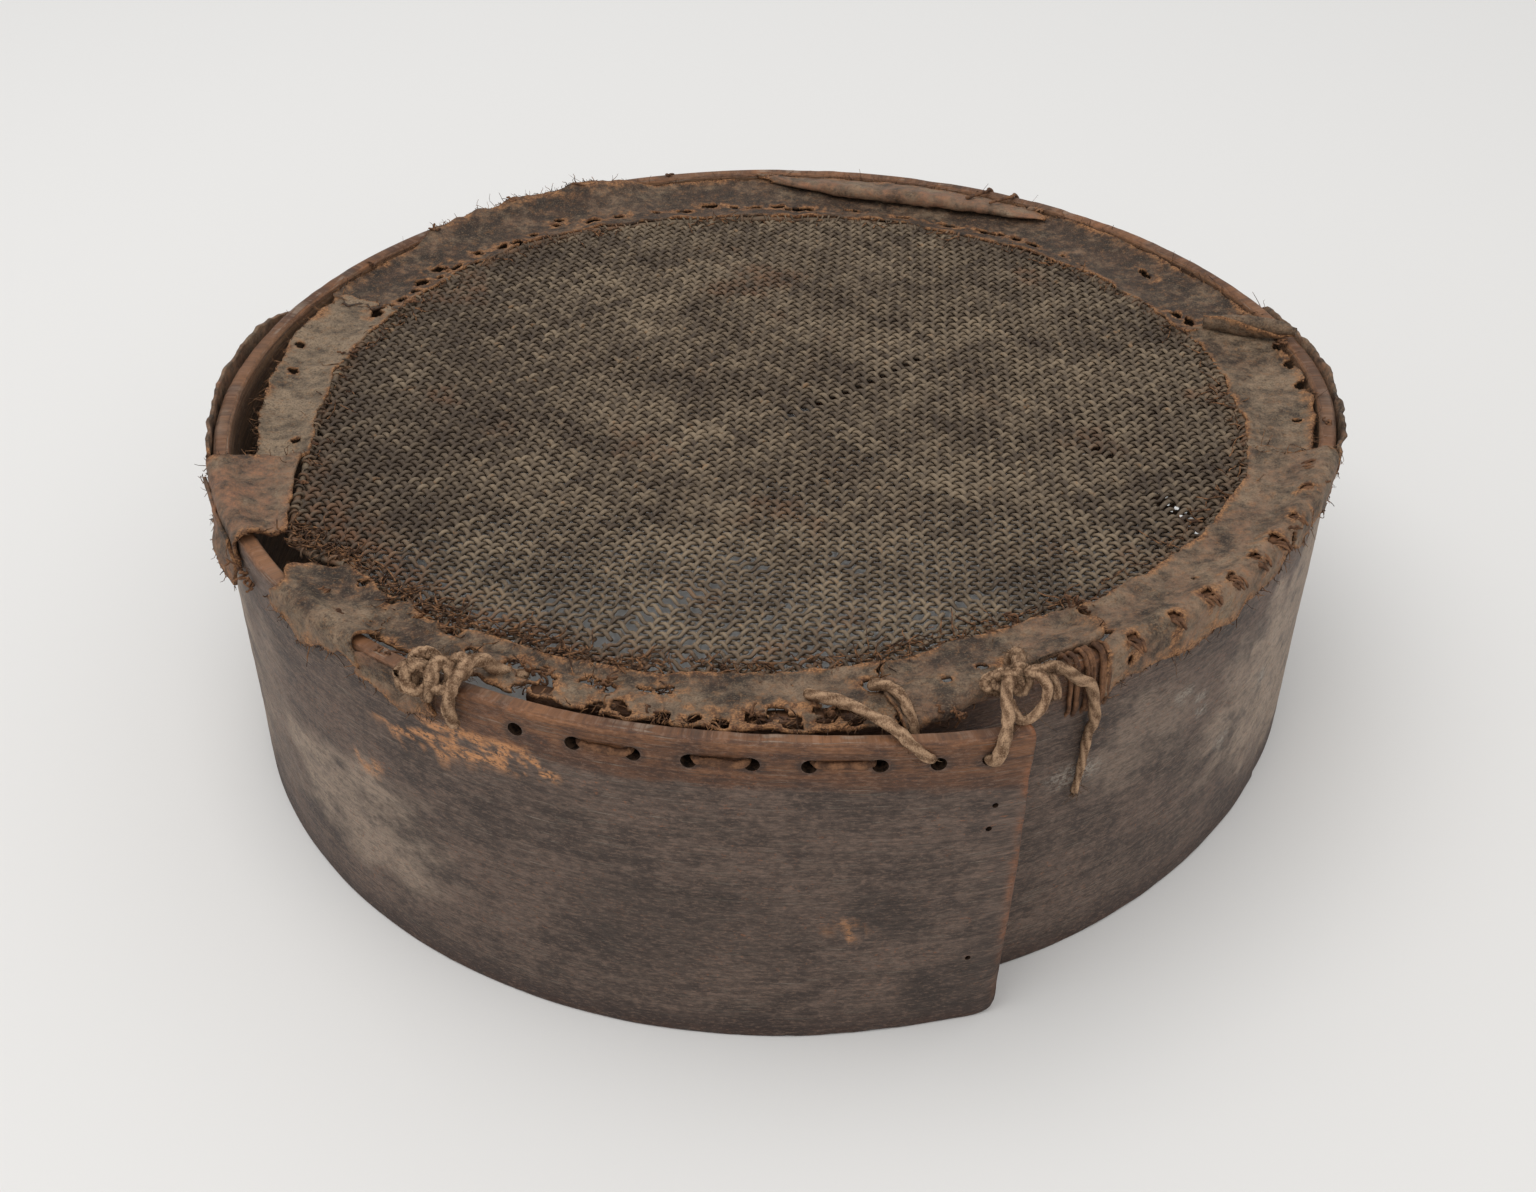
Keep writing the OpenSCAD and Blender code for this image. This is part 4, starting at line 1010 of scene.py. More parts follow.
hide_piece("hide_right", ["hide_band_right"], -57.4, -13.4, right_line, 68, wrinkle=0.9, curl=0.5,
    light=0.54, red=0.42, ribs=0.3, whole=(1, 5), holes=right_holes,
    start=lambda s: np.interp(s, [0, 0.25, 0.4, 0.6, 1], [1.6, 0.9, 0.2, -1.0, -2.2]))
LEFT_LOW = [(-149, 136), (-138.2, 136.5), (-136.1, 129.7), (-132.8, 135), (-129.6, 138), (-127, 138)]


def wrap_line(a):
    return folded(a, table(a, LEFT_LOW) + rag(a, 3, 69), HOOP_R + 0 * a, inner(a))


hide_piece("hide_front_left", ["hide_wrap_front_left"], -141.5, -127.6, wrap_line, 70, wrinkle=0.9, curl=1.2,
    light=0.38, red=0.2, whole=(1, 5), holes=[(-140.2, 209.5, 1.6), (-131.3, 210.4, 2.4), (-136, 213, 1.2)],
    start=lambda s: np.interp(s, [0, 0.08, 0.26, 0.5, 0.65, 0.8, 1], [2.6, 1.8, -0.6, -1.8, 2.0, 1.2, 0]))
PATCH_IN = [(-167, 203.6), (-163.6, 204.4), (-154.6, 213.4), (-148.3, 221.5), (-147, 222)]


def patch_line(a):
    """The patch is folded like the bands, but lies 1.7 mm higher."""
    begin = table(a, PATCH_IN) + rag(a, 0.6, 59)
    return folded(a, 128.5 + rag(a, 4, 71), HOOP_R + 0.2 + 0 * a, begin) + [0.0, 1.7]


hide_piece("hide_patch", ["hide_patch_left"], -163.4, -148.4, patch_line, 72, ends=0.8, wrinkle=0.9, curl=1.0,
    light=0.42, red=0.85, ribs=0.3, slot="hide_worn")

# %% [markdown]
# ## The hide at the lap
# At the front the band lies over the hidden end and stops short of the outer one, so that a dark gap shows
# the lap's mouth. It is the most torn of all. The tongue beside it turns under along its edge.

# %% Front band and tongue
BAND_TOP = board_top(-80) + LIFT
FRONT_EDGE = [(-129.1, 231.7), (-120, 231.2), (-112.3, 229.7), (-104.7, 231), (-96.2, 232.5), (-91.4, 232.4),
    (-84, 232.3), (-79.9, 230)]
front_holes = [(-112.1, 219.3, 4.4), (-114.8, 216.5, 2.8), (-106.1, 215.8, 3.0), (-107.6, 214.5, 2.0),
    (-100.3, 213.2, 2.8), (-101.9, 215, 1.8), (-103.4, 226.2, 3.2), (-105.4, 228, 2.8), (-97.3, 227.2, 2.6),
    (-94.9, 228.4, 2.8), (-91.5, 226.4, 3.0), (-90, 222.6, 3.2), (-88.7, 226.8, 3.0), (-85.3, 223.5, 4.4),
    (-83.4, 226.2, 3.2), (-80.8, 209.5, 3.0), (-110.6, 224.4, 3.0), (-119.3, 218, 1.5), (-123, 212, 1.7),
    (-99.6, 229.2, 2.0), (-112.6, 226.6, 2.6)]


def front_line(a):
    """The front band lies on the hidden end and reaches towards the outer one."""
    edge = np.minimum(table(a, FRONT_EDGE) + rag(a, 2, 73), 232.2)
    return lines((inner(a), START_Z), (inner(a) + 8, NET_Z + 2.0), (TAIL_R - WALL - 1, BAND_TOP + 0.6),
        (TAIL_R - 1, BAND_TOP + 1.1), (edge, BAND_TOP + 0.6))


hide_piece("hide_front", ["hide_band_front"], -129.2, -79.6, front_line, 74, wrinkle=1.2, curl=1.8,
    light=0.3, red=0.2, whole=(5, 5), holes=front_holes)
TONGUE = [(-80.5, 231.5), (-76.6, 230.5), (-72, 224), (-69, 218), (-65, 216), (-61.7, 215.6), (-59.2, 216),
    (-57, 213)]


def tongue_line(a):
    """The tongue crosses the hidden end's top edge, and its own edge turns under."""
    edge, rim_z, board_in = table(a, TONGUE), board_top(a), TAIL_R - WALL
    return lines((inner(a), START_Z), (inner(a) + 9, NET_Z + 3.0), (board_in - 8, rim_z + 0.8),
        (board_in - 2, rim_z + 2.4), (edge + rag(a, 0.6, 75), rim_z + 2.8), (edge - 0.6, rim_z - 0.6),
        (edge - 3.4, rim_z - 2.2))


hide_piece("hide_tongue", ["hide_tongue_right"], -79.8, -57.8, tongue_line, 76, wrinkle=1.0, curl=3.0,
    light=0.34, red=0.4, whole=(5, 1), stop=lambda s: np.interp(s, [0, 0.5, 1], [1.8, 0.3, -1.0]),
    holes=[(-74.5, 214, 1.3), (-70.4, 210.5, 1.2), (-68.2, 212, 1.8)])

# %% [markdown]
# ## Loose hide on the hoop
# Where the bands have torn off, strips of the old skirt still stick to the hoop's outside, curled and
# fuzzy. At the back a long flap lies curled on the band, and on the right a strip has twisted into a fold.

# %% Strips, roll and fold
LEFT_TOP = [(162, 240.8), (165, 243.5), (174, 244.3), (180, 244.2), (187, 241.8), (197, 241.6)]
LEFT_RISE = [(162, 141), (166, 146), (180, 147.6), (197, 147.6)]
RIGHT_RISE = [(-14, 146), (10, 146.6), (16, 144.5), (19.5, 141)]
FRONT_LOW = [(-129, 133), (-126, 132.5), (-122.8, 127.5), (-119.3, 130)]
LEFT_FLAP = [(-162, 239.8), (-158, 242), (-153.8, 245), (-150.7, 243.5), (-149, 241.8)]


def strip_left(a):
    """Stands a little off the board's top, and clings to its face below."""
    stand = table(a, LEFT_TOP)
    return lines((stand + rag(a, 0.8, 81), table(a, LEFT_RISE) + rag(a * 0.6, 2, 82)),
        (stand + 0.2, HOOP_H - 3), (HOOP_R + 2.6, HOOP_H - 9), (HOOP_R + 1.8, 129 + rag(a, 5, 83)))


def strip_right(a):
    """Follows the board's own face, with a ragged edge that stands over its top."""
    board = board_r(a)
    return lines((board + 3.0 + rag(a, 1.5, 85), table(a, RIGHT_RISE) + rag(a * 0.8, 2.4, 86)),
        (board + 2.2, HOOP_H - 2), (board + 1.8, HOOP_H - 8), (board + 1.8, 131 + rag(a, 5, 87)))


def strip_front(a):
    """Lies flat on the board's face."""
    return lines((HOOP_R + 1.9, 143.6 + rag(a, 1, 89)), (HOOP_R + 1.9, 138),
        (HOOP_R + 1.8, table(a, FRONT_LOW) + rag(a, 3, 90)))


def flap(a):
    """Hangs from the patch and stands off the board at its lower edge."""
    stand = table(a, LEFT_FLAP)
    return lines((HOOP_R + 3.4, HOOP_H - 3), (HOOP_R + 3.2, 138), (stand + 1.2, 132),
        (stand + 1.6, 127 + rag(a, 4, 96)))


loose = {"inner": False, "slot": "hide_worn"}
hide_piece("strip_outer_left", ["hide_strip_outer_left"], 162.5, 197, strip_left, 84, wrinkle=0.7, curl=0.8,
    light=0.42, red=0.6, worn=6.0, jagged=1.2, **loose)
hide_piece("strip_outer_right", ["hide_strip_outer_right"], -14.2, 19.5, strip_right, 88, wrinkle=0.9,
    curl=1.2, light=0.4, red=0.5, worn=7.0, **loose)
hide_piece("strip_front_left", ["hide_strip_front_left"], -128.4, -119.3, strip_front, 91, wrinkle=0.8,
    curl=1.2, light=0.36, red=0.6, worn=4.0, **loose)
hide_piece("hide_flap", [], -161.5, -149.4, flap, 97, wrinkle=0.7, curl=1.0, light=0.35, red=0.8,
    rests=["hide_patch"], worn=4.0, **loose)

ROLL_LOW = [(52.5, 222), (56.5, 216), (61, 211.5), (65.4, 209.5), (69.6, 208.5), (75.7, 206.5),
    (81.8, 209.5), (86.5, 216), (93, 227)]
ROLL_TALL = [(52.5, 1.5), (56, 3), (62, 4.4), (70, 5.4), (76, 5.4), (82, 4.4), (88, 2.4), (93, 1)]


def rolled(a):
    """A curled flap: its free edge turns under, and from the crest it falls back towards the hoop."""
    low, tall = table(a, ROLL_LOW) + rag(a, 1.2, 92), table(a, ROLL_TALL) * (1 + 0.2 * cloud(a / 3, 0, 92))
    return lines((low + 3.2, 142.6), (low + 1.4, 141.4), (low - 0.4, 142.4 + 0.3 * tall),
        (low + 0.6, 142.4 + 0.95 * tall), (low + 4, 142.8 + tall), (low + 9, 142.8 + 0.7 * tall),
        (IN_R - 2.6, 143.6))


hide_piece("hide_roll", ["hide_roll_back"], 52.6, 93, rolled, 94, ends=3, wrinkle=0.9, light=0.62, red=1.0,
    rests=["hide_back"], worn=4.0, **loose)

FOLD_COLUMNS = 26
fold_path = curve(polar([206, 214, 223, 231, 237], [17.3, 15.8, 13.6, 11.2, 9.8],
    [143.6, 145.0, 146.6, 149.0, 149.6]), 14)
fold_share = np.linspace(0, 1, len(fold_path))[:, None]
across = np.linspace(0, 1, FOLD_COLUMNS)[None]
fold_side = carried_side(fold_path)
fold_other = np.cross(along(fold_path), fold_side)
fold_turn = np.radians(420) * across + np.radians(150) * fold_share
fold_end = 1 - 0.55 * smooth(fold_share, 0.75, 1)
fold_wide = (2.4 + 3.2 * np.sin(np.pi * np.clip(fold_share, 0.1, 0.85))) * fold_end
fold_wide = fold_wide * (1 - 0.45 * across) * (1 + 0.15 * cloud(fold_share * 9, across * 4, 95))
fold_points = fold_path[:, None] + fold_wide[..., None] * (np.cos(fold_turn)[..., None] * fold_side[:, None]
    + 0.62 * np.sin(fold_turn)[..., None] * fold_other[:, None])
column = np.arange(FOLD_COLUMNS)[None]
edges_worn = np.exp(-np.minimum(column, FOLD_COLUMNS - 1 - column) / 2.0) * np.ones((len(fold_path), 1))
fold = add_mesh("hide_fold", fold_points, grid_quads(len(fold_path), FOLD_COLUMNS),
    marks={"wear": edges_worn, "light": edges_worn * 0 + 0.45, "red": edges_worn * 0 + 0.2})
fold_thick = fold.modifiers.new("thick", "SOLIDIFY")
fold_thick.thickness, fold_thick.offset = 1.1 * MM, 0
settle(fold)
fold.data.materials.append(HIDE)
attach(fold, "root")
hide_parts("hide_fold_right")

# %% [markdown]
# ## Felted cords and knots
# The ties are thick soft cords of matted hair. Each is a tube whose width swells and narrows, with a fuzz
# of short hairs standing off it. A knot is the same tube on a path that loops round itself.

# %% Cords
HAIRY = []


def felted(name, node, routes, width, seed, corners=10, steps=8, skin=None):
    """Cords along routes of points: lumpy tubes joined in one piece, which replaces a CAD node."""
    made = []
    for k, route in enumerate(routes):
        line = curve(route, steps)
        step = np.arange(len(line) - 2) / 3
        line[1:-1] += 0.25 * np.stack([noise(step, k * 3.1, seed + c) for c in range(3)], -1)
        share = np.linspace(0, 1, len(line))
        tips = np.where(np.abs(share - 0.5) > 0.49, 0.6, 1)
        thick = width / 2 * (1 + 0.13 * noise(share * len(line) / 5, k, seed + 4)) * tips
        made.append(tubes(f"{name}_{k + 1}", line, thick, corners, carried_side(line)))
        if skin is None:
            HAIRY.append((line, width / 2))
    piece = join(name, made)
    piece.data.materials.append(skin or CORD)
    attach(piece, "root")
    if node:
        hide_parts(node)
    return piece


def join(name, pieces):
    """One mesh of several: their points one after another, and their faces counted on."""
    points, quads, caps, flats, at = [], [], [], [], 0
    for piece in pieces:
        place = np.zeros(len(piece.data.vertices) * 3)
        piece.data.vertices.foreach_get("co", place)
        points.append(place.reshape(-1, 3) / MM)
        sizes = np.zeros(len(piece.data.polygons), np.int64)
        piece.data.polygons.foreach_get("loop_total", sizes)
        corners = np.zeros(len(piece.data.loops), np.int64)
        piece.data.loops.foreach_get("vertex_index", corners)
        uv = np.zeros(len(corners) * 2)
        piece.data.uv_layers["UVMap"].data.foreach_get("uv", uv)
        first = np.cumsum(sizes) - sizes
        four = first[sizes == 4][:, None] + np.arange(4)
        quads.append(corners[four] + at)
        flats.append(uv.reshape(-1, 2)[four])
        caps += [corners[f : f + n] + at for f, n in zip(first, sizes) if n != 4]
        at += len(piece.data.vertices)
        bpy.data.objects.remove(piece)
    return add_mesh(name, np.concatenate(points), np.concatenate(quads), caps, np.concatenate(flats))


def facing(at, radius, height, wide, tall, depth, turns=1.0, start=0.0, count=18):
    """A loop that faces the front and above, wide along X, tall along the slope and deep forwards."""
    t = np.linspace(0, turns, count)[:, None]
    f = 2 * np.pi * t + np.radians(start)
    loop = wide * np.cos(f) * [1, 0, 0] + tall * np.sin(f) * [0, 0.59, 0.81]
    return polar(radius, at, height) + loop + depth * (t / turns - 0.5) * np.array([0, -0.81, 0.59])


band_z = BAND_TOP + 2.6
left_tie = polar([217, 220, 223.6, 228, 233, 236.4, 239.6, 242.6, 243.8, 243.8, 243.2],
    [-113.4, -114.4, -115.4, -116.2, -116.6, -116.8, -116.9, -117, -117.1, -117, -116.8],
    [band_z - 6, band_z - 4.6, band_z - 0.5, 150.4, 151.8, 150.8, 148.4, 145.6, 141, 136.5, 131.5])
felted("tie_cord_left_strand", "tie_cord_left", [left_tie], 4.8, 101)
felted("knot_left_loops", "knot_left", [facing(-119.9, 243.5, 147.6, 4.4, 4.6, 3, 1.25, 40),
    facing(-118.2, 240.4, 149.4, 3.4, 4.6, 4, 1.3, 200), facing(-117.2, 234.5, 150.6, 2.6, 2.8, 2, 1.1, 90),
    facing(-120.4, 237.2, 149.6, 4.0, 3.2, 3, 1.1, 300), facing(-121.2, 243.2, 145.6, 2.6, 3.6, 2, 1.0, 150),
    polar([232, 236, 240.5, 243.8, 244.8, 243.6], [-118.6, -118.8, -118.6, -118.3, -118.6, -119.2],
    [148.4, 151.6, 152.4, 149.8, 145, 140.4])], 4.3, 102)
diagonal = polar([213.5, 218, 223.2, 229, 235, 240.3, 244.2, 245.4, 243.6, 237],
    [-87.6, -86.1, -84.4, -82.9, -81.7, -80.7, -79.8, -78.8, -78, -77.5],
    [band_z - 1, band_z + 1, 147.4, 148.2, 148.6, 148.2, 145.6, 141, 137.4, 135.6])
felted("diagonal_cord_strand", "diagonal_cord", [diagonal], 4.2, 103)
short = polar([211, 215, 219, 225, 229.3, 231.2, 231.2], [-81.6, -80.6, -79.8, -79.3, -79, -78.8, -78.7],
    [143.6, 147, 148, 148, 146, 141, 133])
felted("short_cord_strand", "short_cord", [short], 4.0, 104)
right_tie = polar([240, 247.6, 249.6, 249.6, 247.4, 243.5, 239, 234.4, 229, 225],
    [-73.5, -73.5, -73.3, -72.9, -72.5, -72, -71.7, -71.2, -70.3, -69.6],
    [135.6, 135.8, 138.2, 142.6, 147, 150, 151.8, 152.8, 153.2, 153.4])
felted("tie_strand", "tie_strand_right", [right_tie], 4.3, 105)
right_loop = polar([211.6, 213.4, 216.4, 220, 224, 227.5, 230.5],
    [-67.9, -67.8, -67.9, -68.3, -68.9, -69.5, -70], [143.6, 148.6, 151.4, 152.2, 153.2, 154.2, 154.4])
felted("tie_loop", "tie_loop_right", [right_loop], 4.9, 106)
felted("knot_right_loops", "knot_right", [facing(-70.6, 228.4, 151.6, 4.6, 2.8, 4, 1.2, 30),
    facing(-69.4, 229.4, 152.4, 3.0, 4.2, 4, 1.25, 160), facing(-71.4, 227.4, 150.8, 3.8, 2.6, 3, 1.1, 200),
    polar([229.8, 233.5, 237.2, 240.4, 242, 242.2, 239.6, 236],
    [-68.8, -68.2, -68, -68.4, -69.3, -70.4, -71, -71],
    [154.6, 155.2, 153.6, 150.6, 147, 145.2, 147.4, 150.4]),
    polar([230, 231.2, 231, 230], [-69.2, -67.9, -66.8, -66], [154.8, 156, 155.6, 154.4]),
    polar([226, 230, 235, 238.6], [-67.8, -67.2, -66.9, -67.2], [152.4, 153, 151.4, 147.6])], 3.5, 107)

shred_rng = np.random.default_rng(11)


def shreds(angle, radius, height, count, reach):
    """Short curled shreds that start on a spot: each walks six seeded random steps, and so stays near it."""
    starts = polar(radius, angle, height) + shred_rng.normal(size=(count, 1, 3)) * reach * [0.6, 0.3, 0.3]
    steps = np.cumsum(shred_rng.normal(size=(count, 6, 3)) * reach * [0.6, 0.4, 0.6], axis=1)
    return list(np.concatenate([starts, starts + steps], 1))


CRUMBS = [(150, 233.5, 143.9), (139, 235, 146.3), (127, 236, 147.8), (118, 236.5, 147.9), (105, 237, 144.9),
    (-158, 206.5, 140.4), (-166, 200, 140.4), (171, 197.5, 141.8), (155, 196, 141.4), (10, 233, 144.7),
    (-8, 232, 144.7), (-20, 232, 145), (-30, 226.5, 146), (-42, 224.5, 145.2), (-137, 227, 143.1),
    (-133, 231, 144.4), (-125, 236, 144.3)]
SHREDDED = [(-149.5, 241, 135, 4, 2), (-147.8, 241, 133, 5, 2), (-146, 241, 131.5, 4, 1.8),
    (-76.4, 229, 143, 3, 1.6), (-74.8, 228.4, 142.8, 4, 1.6), (-101, 229, 143.6, 4, 1.6),
    (-92, 224.5, 143, 5, 1.8), (-85.5, 222, 143, 5, 1.6), (-112, 218.5, 142.8, 5, 1.6),
    (-105.8, 214.6, 142.6, 4, 1.4), (-128, 208.4, 141, 4, 1.4), (-119, 204.5, 140.8, 5, 1.6),
    (-63, 190, 141, 5, 1.6), (-57, 194, 143.2, 5, 1.6)]
curls = []
for angle, radius, height in CRUMBS:
    curls += [shred * [1, 1, 0.3] + [0, 0, 0.7 * height] for shred in shreds(angle, radius, height, 4, 1.5)]
for place in SHREDDED:
    curls += shreds(*place)
felted("curled_shreds", None, curls, 0.9, 112, corners=5, steps=3, skin=THONG)

# %% [markdown]
# ## Whipping, stitches and thongs
# The whipping is thread wound over the hidden end's top edge. The lap's stitches are thongs that lie in the
# grooves between pairs of holes. The right band's stitches are bunches of short threads.

# %% Threads
IN_FACE = TAIL_R - WALL
whip_r = [IN_FACE - 1.4, IN_FACE - 1.5, IN_FACE - 1.2, TAIL_R - 5.4, TAIL_R - 3.2, TAIL_R - 1, TAIL_R + 1.2,
    TAIL_R + 1.6, TAIL_R + 1.4, TAIL_R - 1]
whip_lean = np.array([0.3, 0.2, 0.1, 0, 0, 0, 0, 0.1, 0.2, 0.3])
whip_z = np.array([120, 128, 138, 145.6, 146.6, 146.2, 142.6, 134, 126, 120.4]) - 0.5
whip_a = -61 + np.degrees((np.arange(9) - 4) * 2.1 / TAIL_R)
turns = [polar(whip_r, w + whip_lean + 0.25 * np.sin(k * 2.3), whip_z) for k, w in enumerate(whip_a)]
felted("whipping", "edge_whipping", turns, 1.8, 108, corners=7, steps=5, skin=THONG)

face = board_r(front(HOLES))
sunk, past = np.array([6, 2.4, 0.7, 0.1]), np.array([0.35, 0.42, 0.75, 1.6])
stitch_z = HOLE_Z - 0.4 + np.array([0, 0, 0.2, 0.3, 0.2, 0.1, 0, 0])
stitches = [polar(np.concatenate([face[i] - sunk, face[j] - sunk[::-1]]),
    np.concatenate([HOLES[i] + past, HOLES[j] - past[::-1]]), stitch_z) for i, j in LACED]
felted("lap_stitch", "lap_stitches", stitches, 2.8, 109, skin=THONG)

threads = []
for n, (w, middle) in enumerate(RIM_STITCHES):
    for k in range(5):
        shift = (k - 2) * 1.2 + 0.5 * np.sin(n * 3 + k * 5)
        size = 3.6 + 1.0 * np.sin(n * 5 + k * 2)
        threads.append(polar(middle + 1.5 + size * np.array([-1, -0.8, -0.1, 0.7, 1.1]),
            w + np.degrees((shift * np.array([0.6, 0.9, 1.2, 0.9, 0.5]) + 0.7 * np.sin(n + k)) / middle),
            np.array([140.6, 143.6, 145.4 + 0.5 * np.sin(k * 9 + n), 145.4, 143.6])))
felted("rim_stitch", "rim_stitches", threads, 1.2, 110, corners=5, steps=4, skin=THONG)

thong_lean = np.array([1.4, 1, 0.6, 0.1, 0.2, 0.1, -0.2, -0.3])
thongs = [polar([217, 222, 228, 233.4, 237.6, 240.6, 241.2, 241], w + thong_lean,
    [147.4, 147.2, 146.6, 146.2, 145.7, 144, 140, 136.6]) for w in (62, 58.5)]
felted("roll_thong", "roll_thongs", thongs, 1.8, 111, corners=7, skin=THONG)

# %% [markdown]
# ## Loose fibres
# Torn hide and broken gut end in fibres, and felt sheds hair. Each fibre is a thin three-sided tube on a
# short curved path. The random numbers come from one seeded generator, so that every run gives the same
# fibres.

# %% Fibres
rng = np.random.default_rng(7)


def paint_fibre(start):
    where = in_mm(start)
    spot = grainy(where, 3, 41, 3, 0.6)
    return spot.between(0.4, 0.66).mix(rgb(58, 41, 31), rgb(138, 100, 70)), spot * 0.2 + 0.6, spot


FIBRE = finish("dry_fibre", paint_fibre, specular=0.15, depth=0.0001)


def fibres(name, starts, ways, length, radius, curl, skin=FIBRE):
    """Hairs that leave their starts along ways: start + length (t way + t^2 bend / 2 + a small wave)."""
    count = len(starts)
    bend = rng.normal(0, curl, (count, 1, 3))
    other = rng.normal(0, 0.1, (count, 1, 3))
    phase = rng.uniform(0, 6, (count, 1, 1))
    t = np.linspace(0, 1, 6)[None, :, None]
    shape = t * unit(ways)[:, None] + 0.5 * t**2 * bend + t * np.sin(t * 7 + phase) * other
    paths = starts[:, None] + length[:, None, None] * shape
    thin = radius[:, None] * (1 - 0.5 * t[..., 0])
    piece = tubes(name, paths, thin, 3, np.broadcast_to(rng.normal(0, 1, (count, 1, 3)), paths.shape))
    piece.data.materials.append(skin)
    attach(piece, "root")
    print(name, count)


TORN_HAIRS, HOLE_HAIRS, CORD_HAIRS, TIP_HAIRS = 1900, 110, 150, 60
edges = np.concatenate([edge for edge, out in TORN])
outs = np.concatenate([out for edge, out in TORN])
chosen = rng.choice(len(edges), TORN_HAIRS)
fibres("torn_fibres", edges[chosen] - 0.6 * outs[chosen],
    outs[chosen] + rng.normal(0, 0.55, (TORN_HAIRS, 3)) + [0, 0, 0.2],
    rng.gamma(2.2, 1.1, TORN_HAIRS).clip(0.8, 7), rng.uniform(0.12, 0.3, TORN_HAIRS), 0.7)

fringe_parts = [(-150, -100, 330), (-100, -55, 170), (-55, 20, 80), (20, 200, 150)]
fringe_a = np.concatenate([rng.uniform(*part) for part in fringe_parts])
many = len(fringe_a)
fringe_r = net_edge(fringe_a) + rng.uniform(-7, 2.5, many)
fringe = polar(fringe_r, fringe_a, 0)
fringe[:, 2] = net_z(fringe[:, 0], fringe[:, 1]) + rng.uniform(1.2, 2.6, many)
fringe_way = unit(np.stack([rng.normal(0, 1, many), rng.normal(0, 1, many), rng.normal(0, 0.12, many)], -1))
fibres("net_fringe", fringe, fringe_way, rng.uniform(3, 11, many), rng.uniform(0.25, 0.55, many), 0.45)

hole_a, hole_r, hole_size = np.array(front_holes).T[:, rng.choice(len(front_holes), HOLE_HAIRS)]
turn = rng.uniform(0, 2 * np.pi, HOLE_HAIRS)
rim = polar(hole_r + hole_size * np.cos(turn), hole_a + np.degrees(hole_size * np.sin(turn) / hole_r),
    BAND_TOP + rng.uniform(-1.5, 0.8, HOLE_HAIRS))
fibres("hole_fibres", rim, polar(hole_r, hole_a, BAND_TOP) - rim + rng.normal(0, 1.2, (HOLE_HAIRS, 3)),
    rng.uniform(2, 6, HOLE_HAIRS), rng.uniform(0.2, 0.5, HOLE_HAIRS), 0.5)

fuzz, fuzz_way = [], []
for line, radius in HAIRY + [(tail_line, 1.8)]:
    at = rng.choice(len(line), CORD_HAIRS)
    way = along(line)[at]
    out = unit(rng.normal(0, 1, (CORD_HAIRS, 3)))
    out = unit(out - (out * way).sum(-1, keepdims=True) * way)
    fuzz.append(line[at] + out * radius * 0.9)
    fuzz_way.append(out + rng.normal(0, 0.9, (CORD_HAIRS, 3)))
fuzz.append(tail_line[-1] + rng.normal(0, 0.8, (TIP_HAIRS, 3)))
fuzz_way.append(rng.normal(0, 0.35, (TIP_HAIRS, 3)) + [0, 0, -1])
fuzz, fuzz_way = np.concatenate(fuzz), np.concatenate(fuzz_way)
fuzz_long = rng.gamma(2.5, 0.8, len(fuzz)).clip(0.6, 6)
fibres("cord_fuzz", fuzz, fuzz_way, fuzz_long, rng.uniform(0.07, 0.14, len(fuzz)), 0.9, CORD)

# %% [markdown]
# ## Pale lint
# At the right a strand has torn out, and pale flecks show in the cells beside it. Each is a short flat tube
# among the strands, so that the mesh hides parts of it.

# %% Lint
def paint_lint(start):
    spot = grainy(in_mm(start), 1.5, 51, 3, 0.6)
    return spot.between(0.35, 0.65).mix(rgb(196, 196, 194), rgb(236, 237, 238)), spot * 0.1 + 0.8, spot


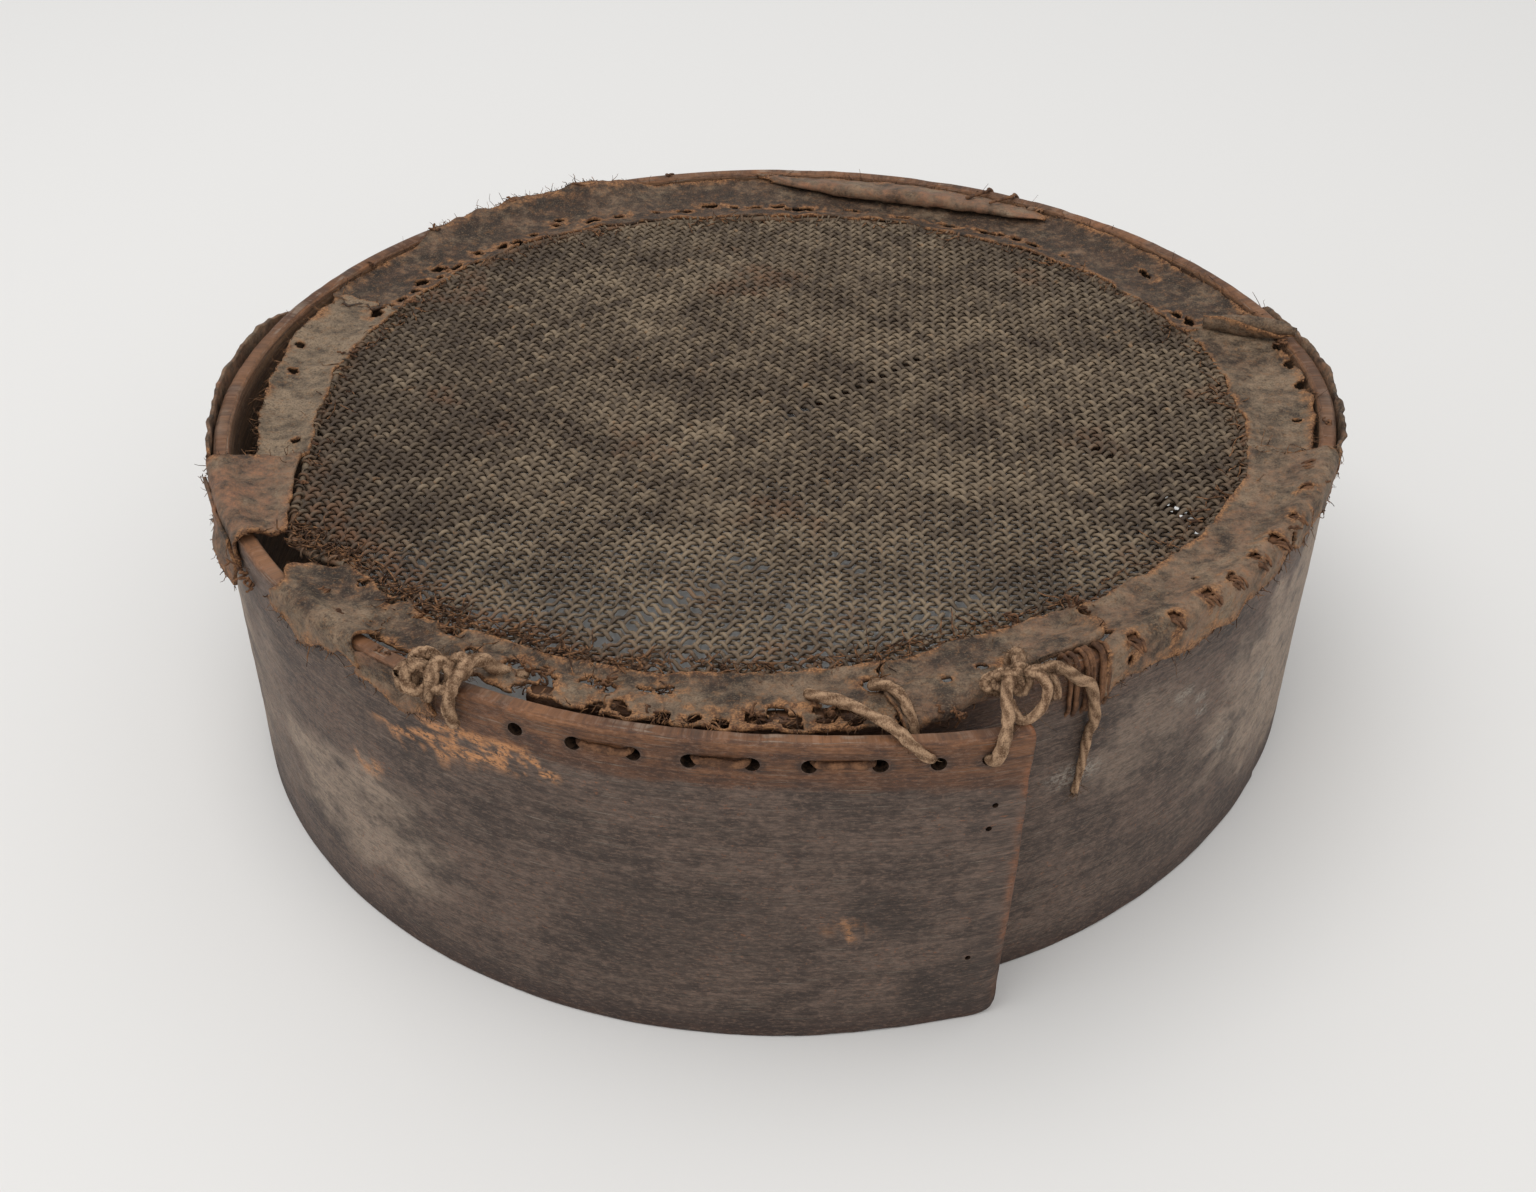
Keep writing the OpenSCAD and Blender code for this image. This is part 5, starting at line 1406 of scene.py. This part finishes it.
LINT = [(149.5, -75, 0.9), (151.7, -77.8, 0.9), (154.7, -80.4, 1.2), (154.6, -86.1, 1.1), (155, -90.9, 0.9),
    (157.6, -88.9, 1.3), (160.3, -91.5, 1.2), (158.5, -94.9, 1.2), (161.5, -97.6, 1.7), (159.2, -101.7, 1.5),
    (162, -105.6, 1.8), (127, -46.7, 0.7), (128.8, -49.5, 0.9), (133, -53.9, 0.7)]
lint_x, lint_y, lint_long = np.array(LINT).T
lint_way = polar(1, np.degrees(np.sin(np.arange(len(LINT)) * 7.7) * 2), 0)
middle = np.stack([lint_x, lint_y, net_z(lint_x, lint_y) - 0.1], -1)
lint_path = middle[:, None] + np.linspace(-1, 1, 4)[None, :, None] * (lint_long[:, None] * lint_way)[:, None]
lint_side = np.cross(lint_way, [0, 0, 1])[:, None]
lint = tubes("pale_lint", lint_path, lint_long[:, None] * [0.5, 0.8, 0.75, 0.4], 6, lint_side, flat=0.2)
lint.data.materials.append(finish("pale_lint", paint_lint, specular=0.1, depth=0.0001))
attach(lint, "root")
print("lint", len(middle))

# %% [markdown]
# ## Floor and light
# The photograph has a plain pale floor and light from all sides, with a soft shadow under the hoop. A wide
# plane and a white world give the fill. A large soft lamp overhead gives the shadow its direction, and a
# weaker one in front lights the wall.

# %% Floor, lamp and world
floor = add_mesh("floor", [[-4000, -3000, 0], [4000, -3000, 0], [4000, 6000, 0], [-4000, 6000, 0]],
    [[0, 1, 2, 3]])
paper = bpy.data.materials.new("floor_paper")
paper.use_nodes = True
start = Wire(paper.node_tree)
depth = start.node("SeparateXYZ", inputs={0: start.node("TexCoord", out=3)}, out=1)
shade = depth.between(-0.3, 1.6).mix((0.765, 0.757, 0.745, 1), (0.82, 0.817, 0.81, 1))
sheen = paper.node_tree.nodes["Principled BSDF"].inputs
paper.node_tree.links.new(shade.socket, sheen["Base Color"])
sheen["Roughness"].default_value = 0.9
sheen["Specular IOR Level"].default_value = 0.1
floor.data.materials.append(paper)

world = bpy.data.worlds.new("studio")
bpy.context.scene.world = world
world.use_nodes = True
sky = world.node_tree.nodes["Background"].inputs
sky["Color"].default_value = (1, 0.995, 0.985, 1)
sky["Strength"].default_value = 0.72


def lamp(name, place, aim, size, power):
    """A square soft lamp at a place, turned to face a point."""
    data = bpy.data.lights.new(name, "AREA")
    data.size, data.energy = size, power
    made = bpy.data.objects.new(name, data)
    made.location = place
    made.rotation_euler = (Vector(aim) - Vector(place)).to_track_quat("-Z", "Y").to_euler()
    bpy.context.scene.collection.objects.link(made)


lamp("overhead", (-0.5, -0.3, 2.2), (0, 0, 0.1), 1.8, 21)
lamp("front", (0.6, -2.2, 1.2), (0, 0, 0.1), 1.6, 9)
bpy.context.scene.view_settings.view_transform = "Standard"
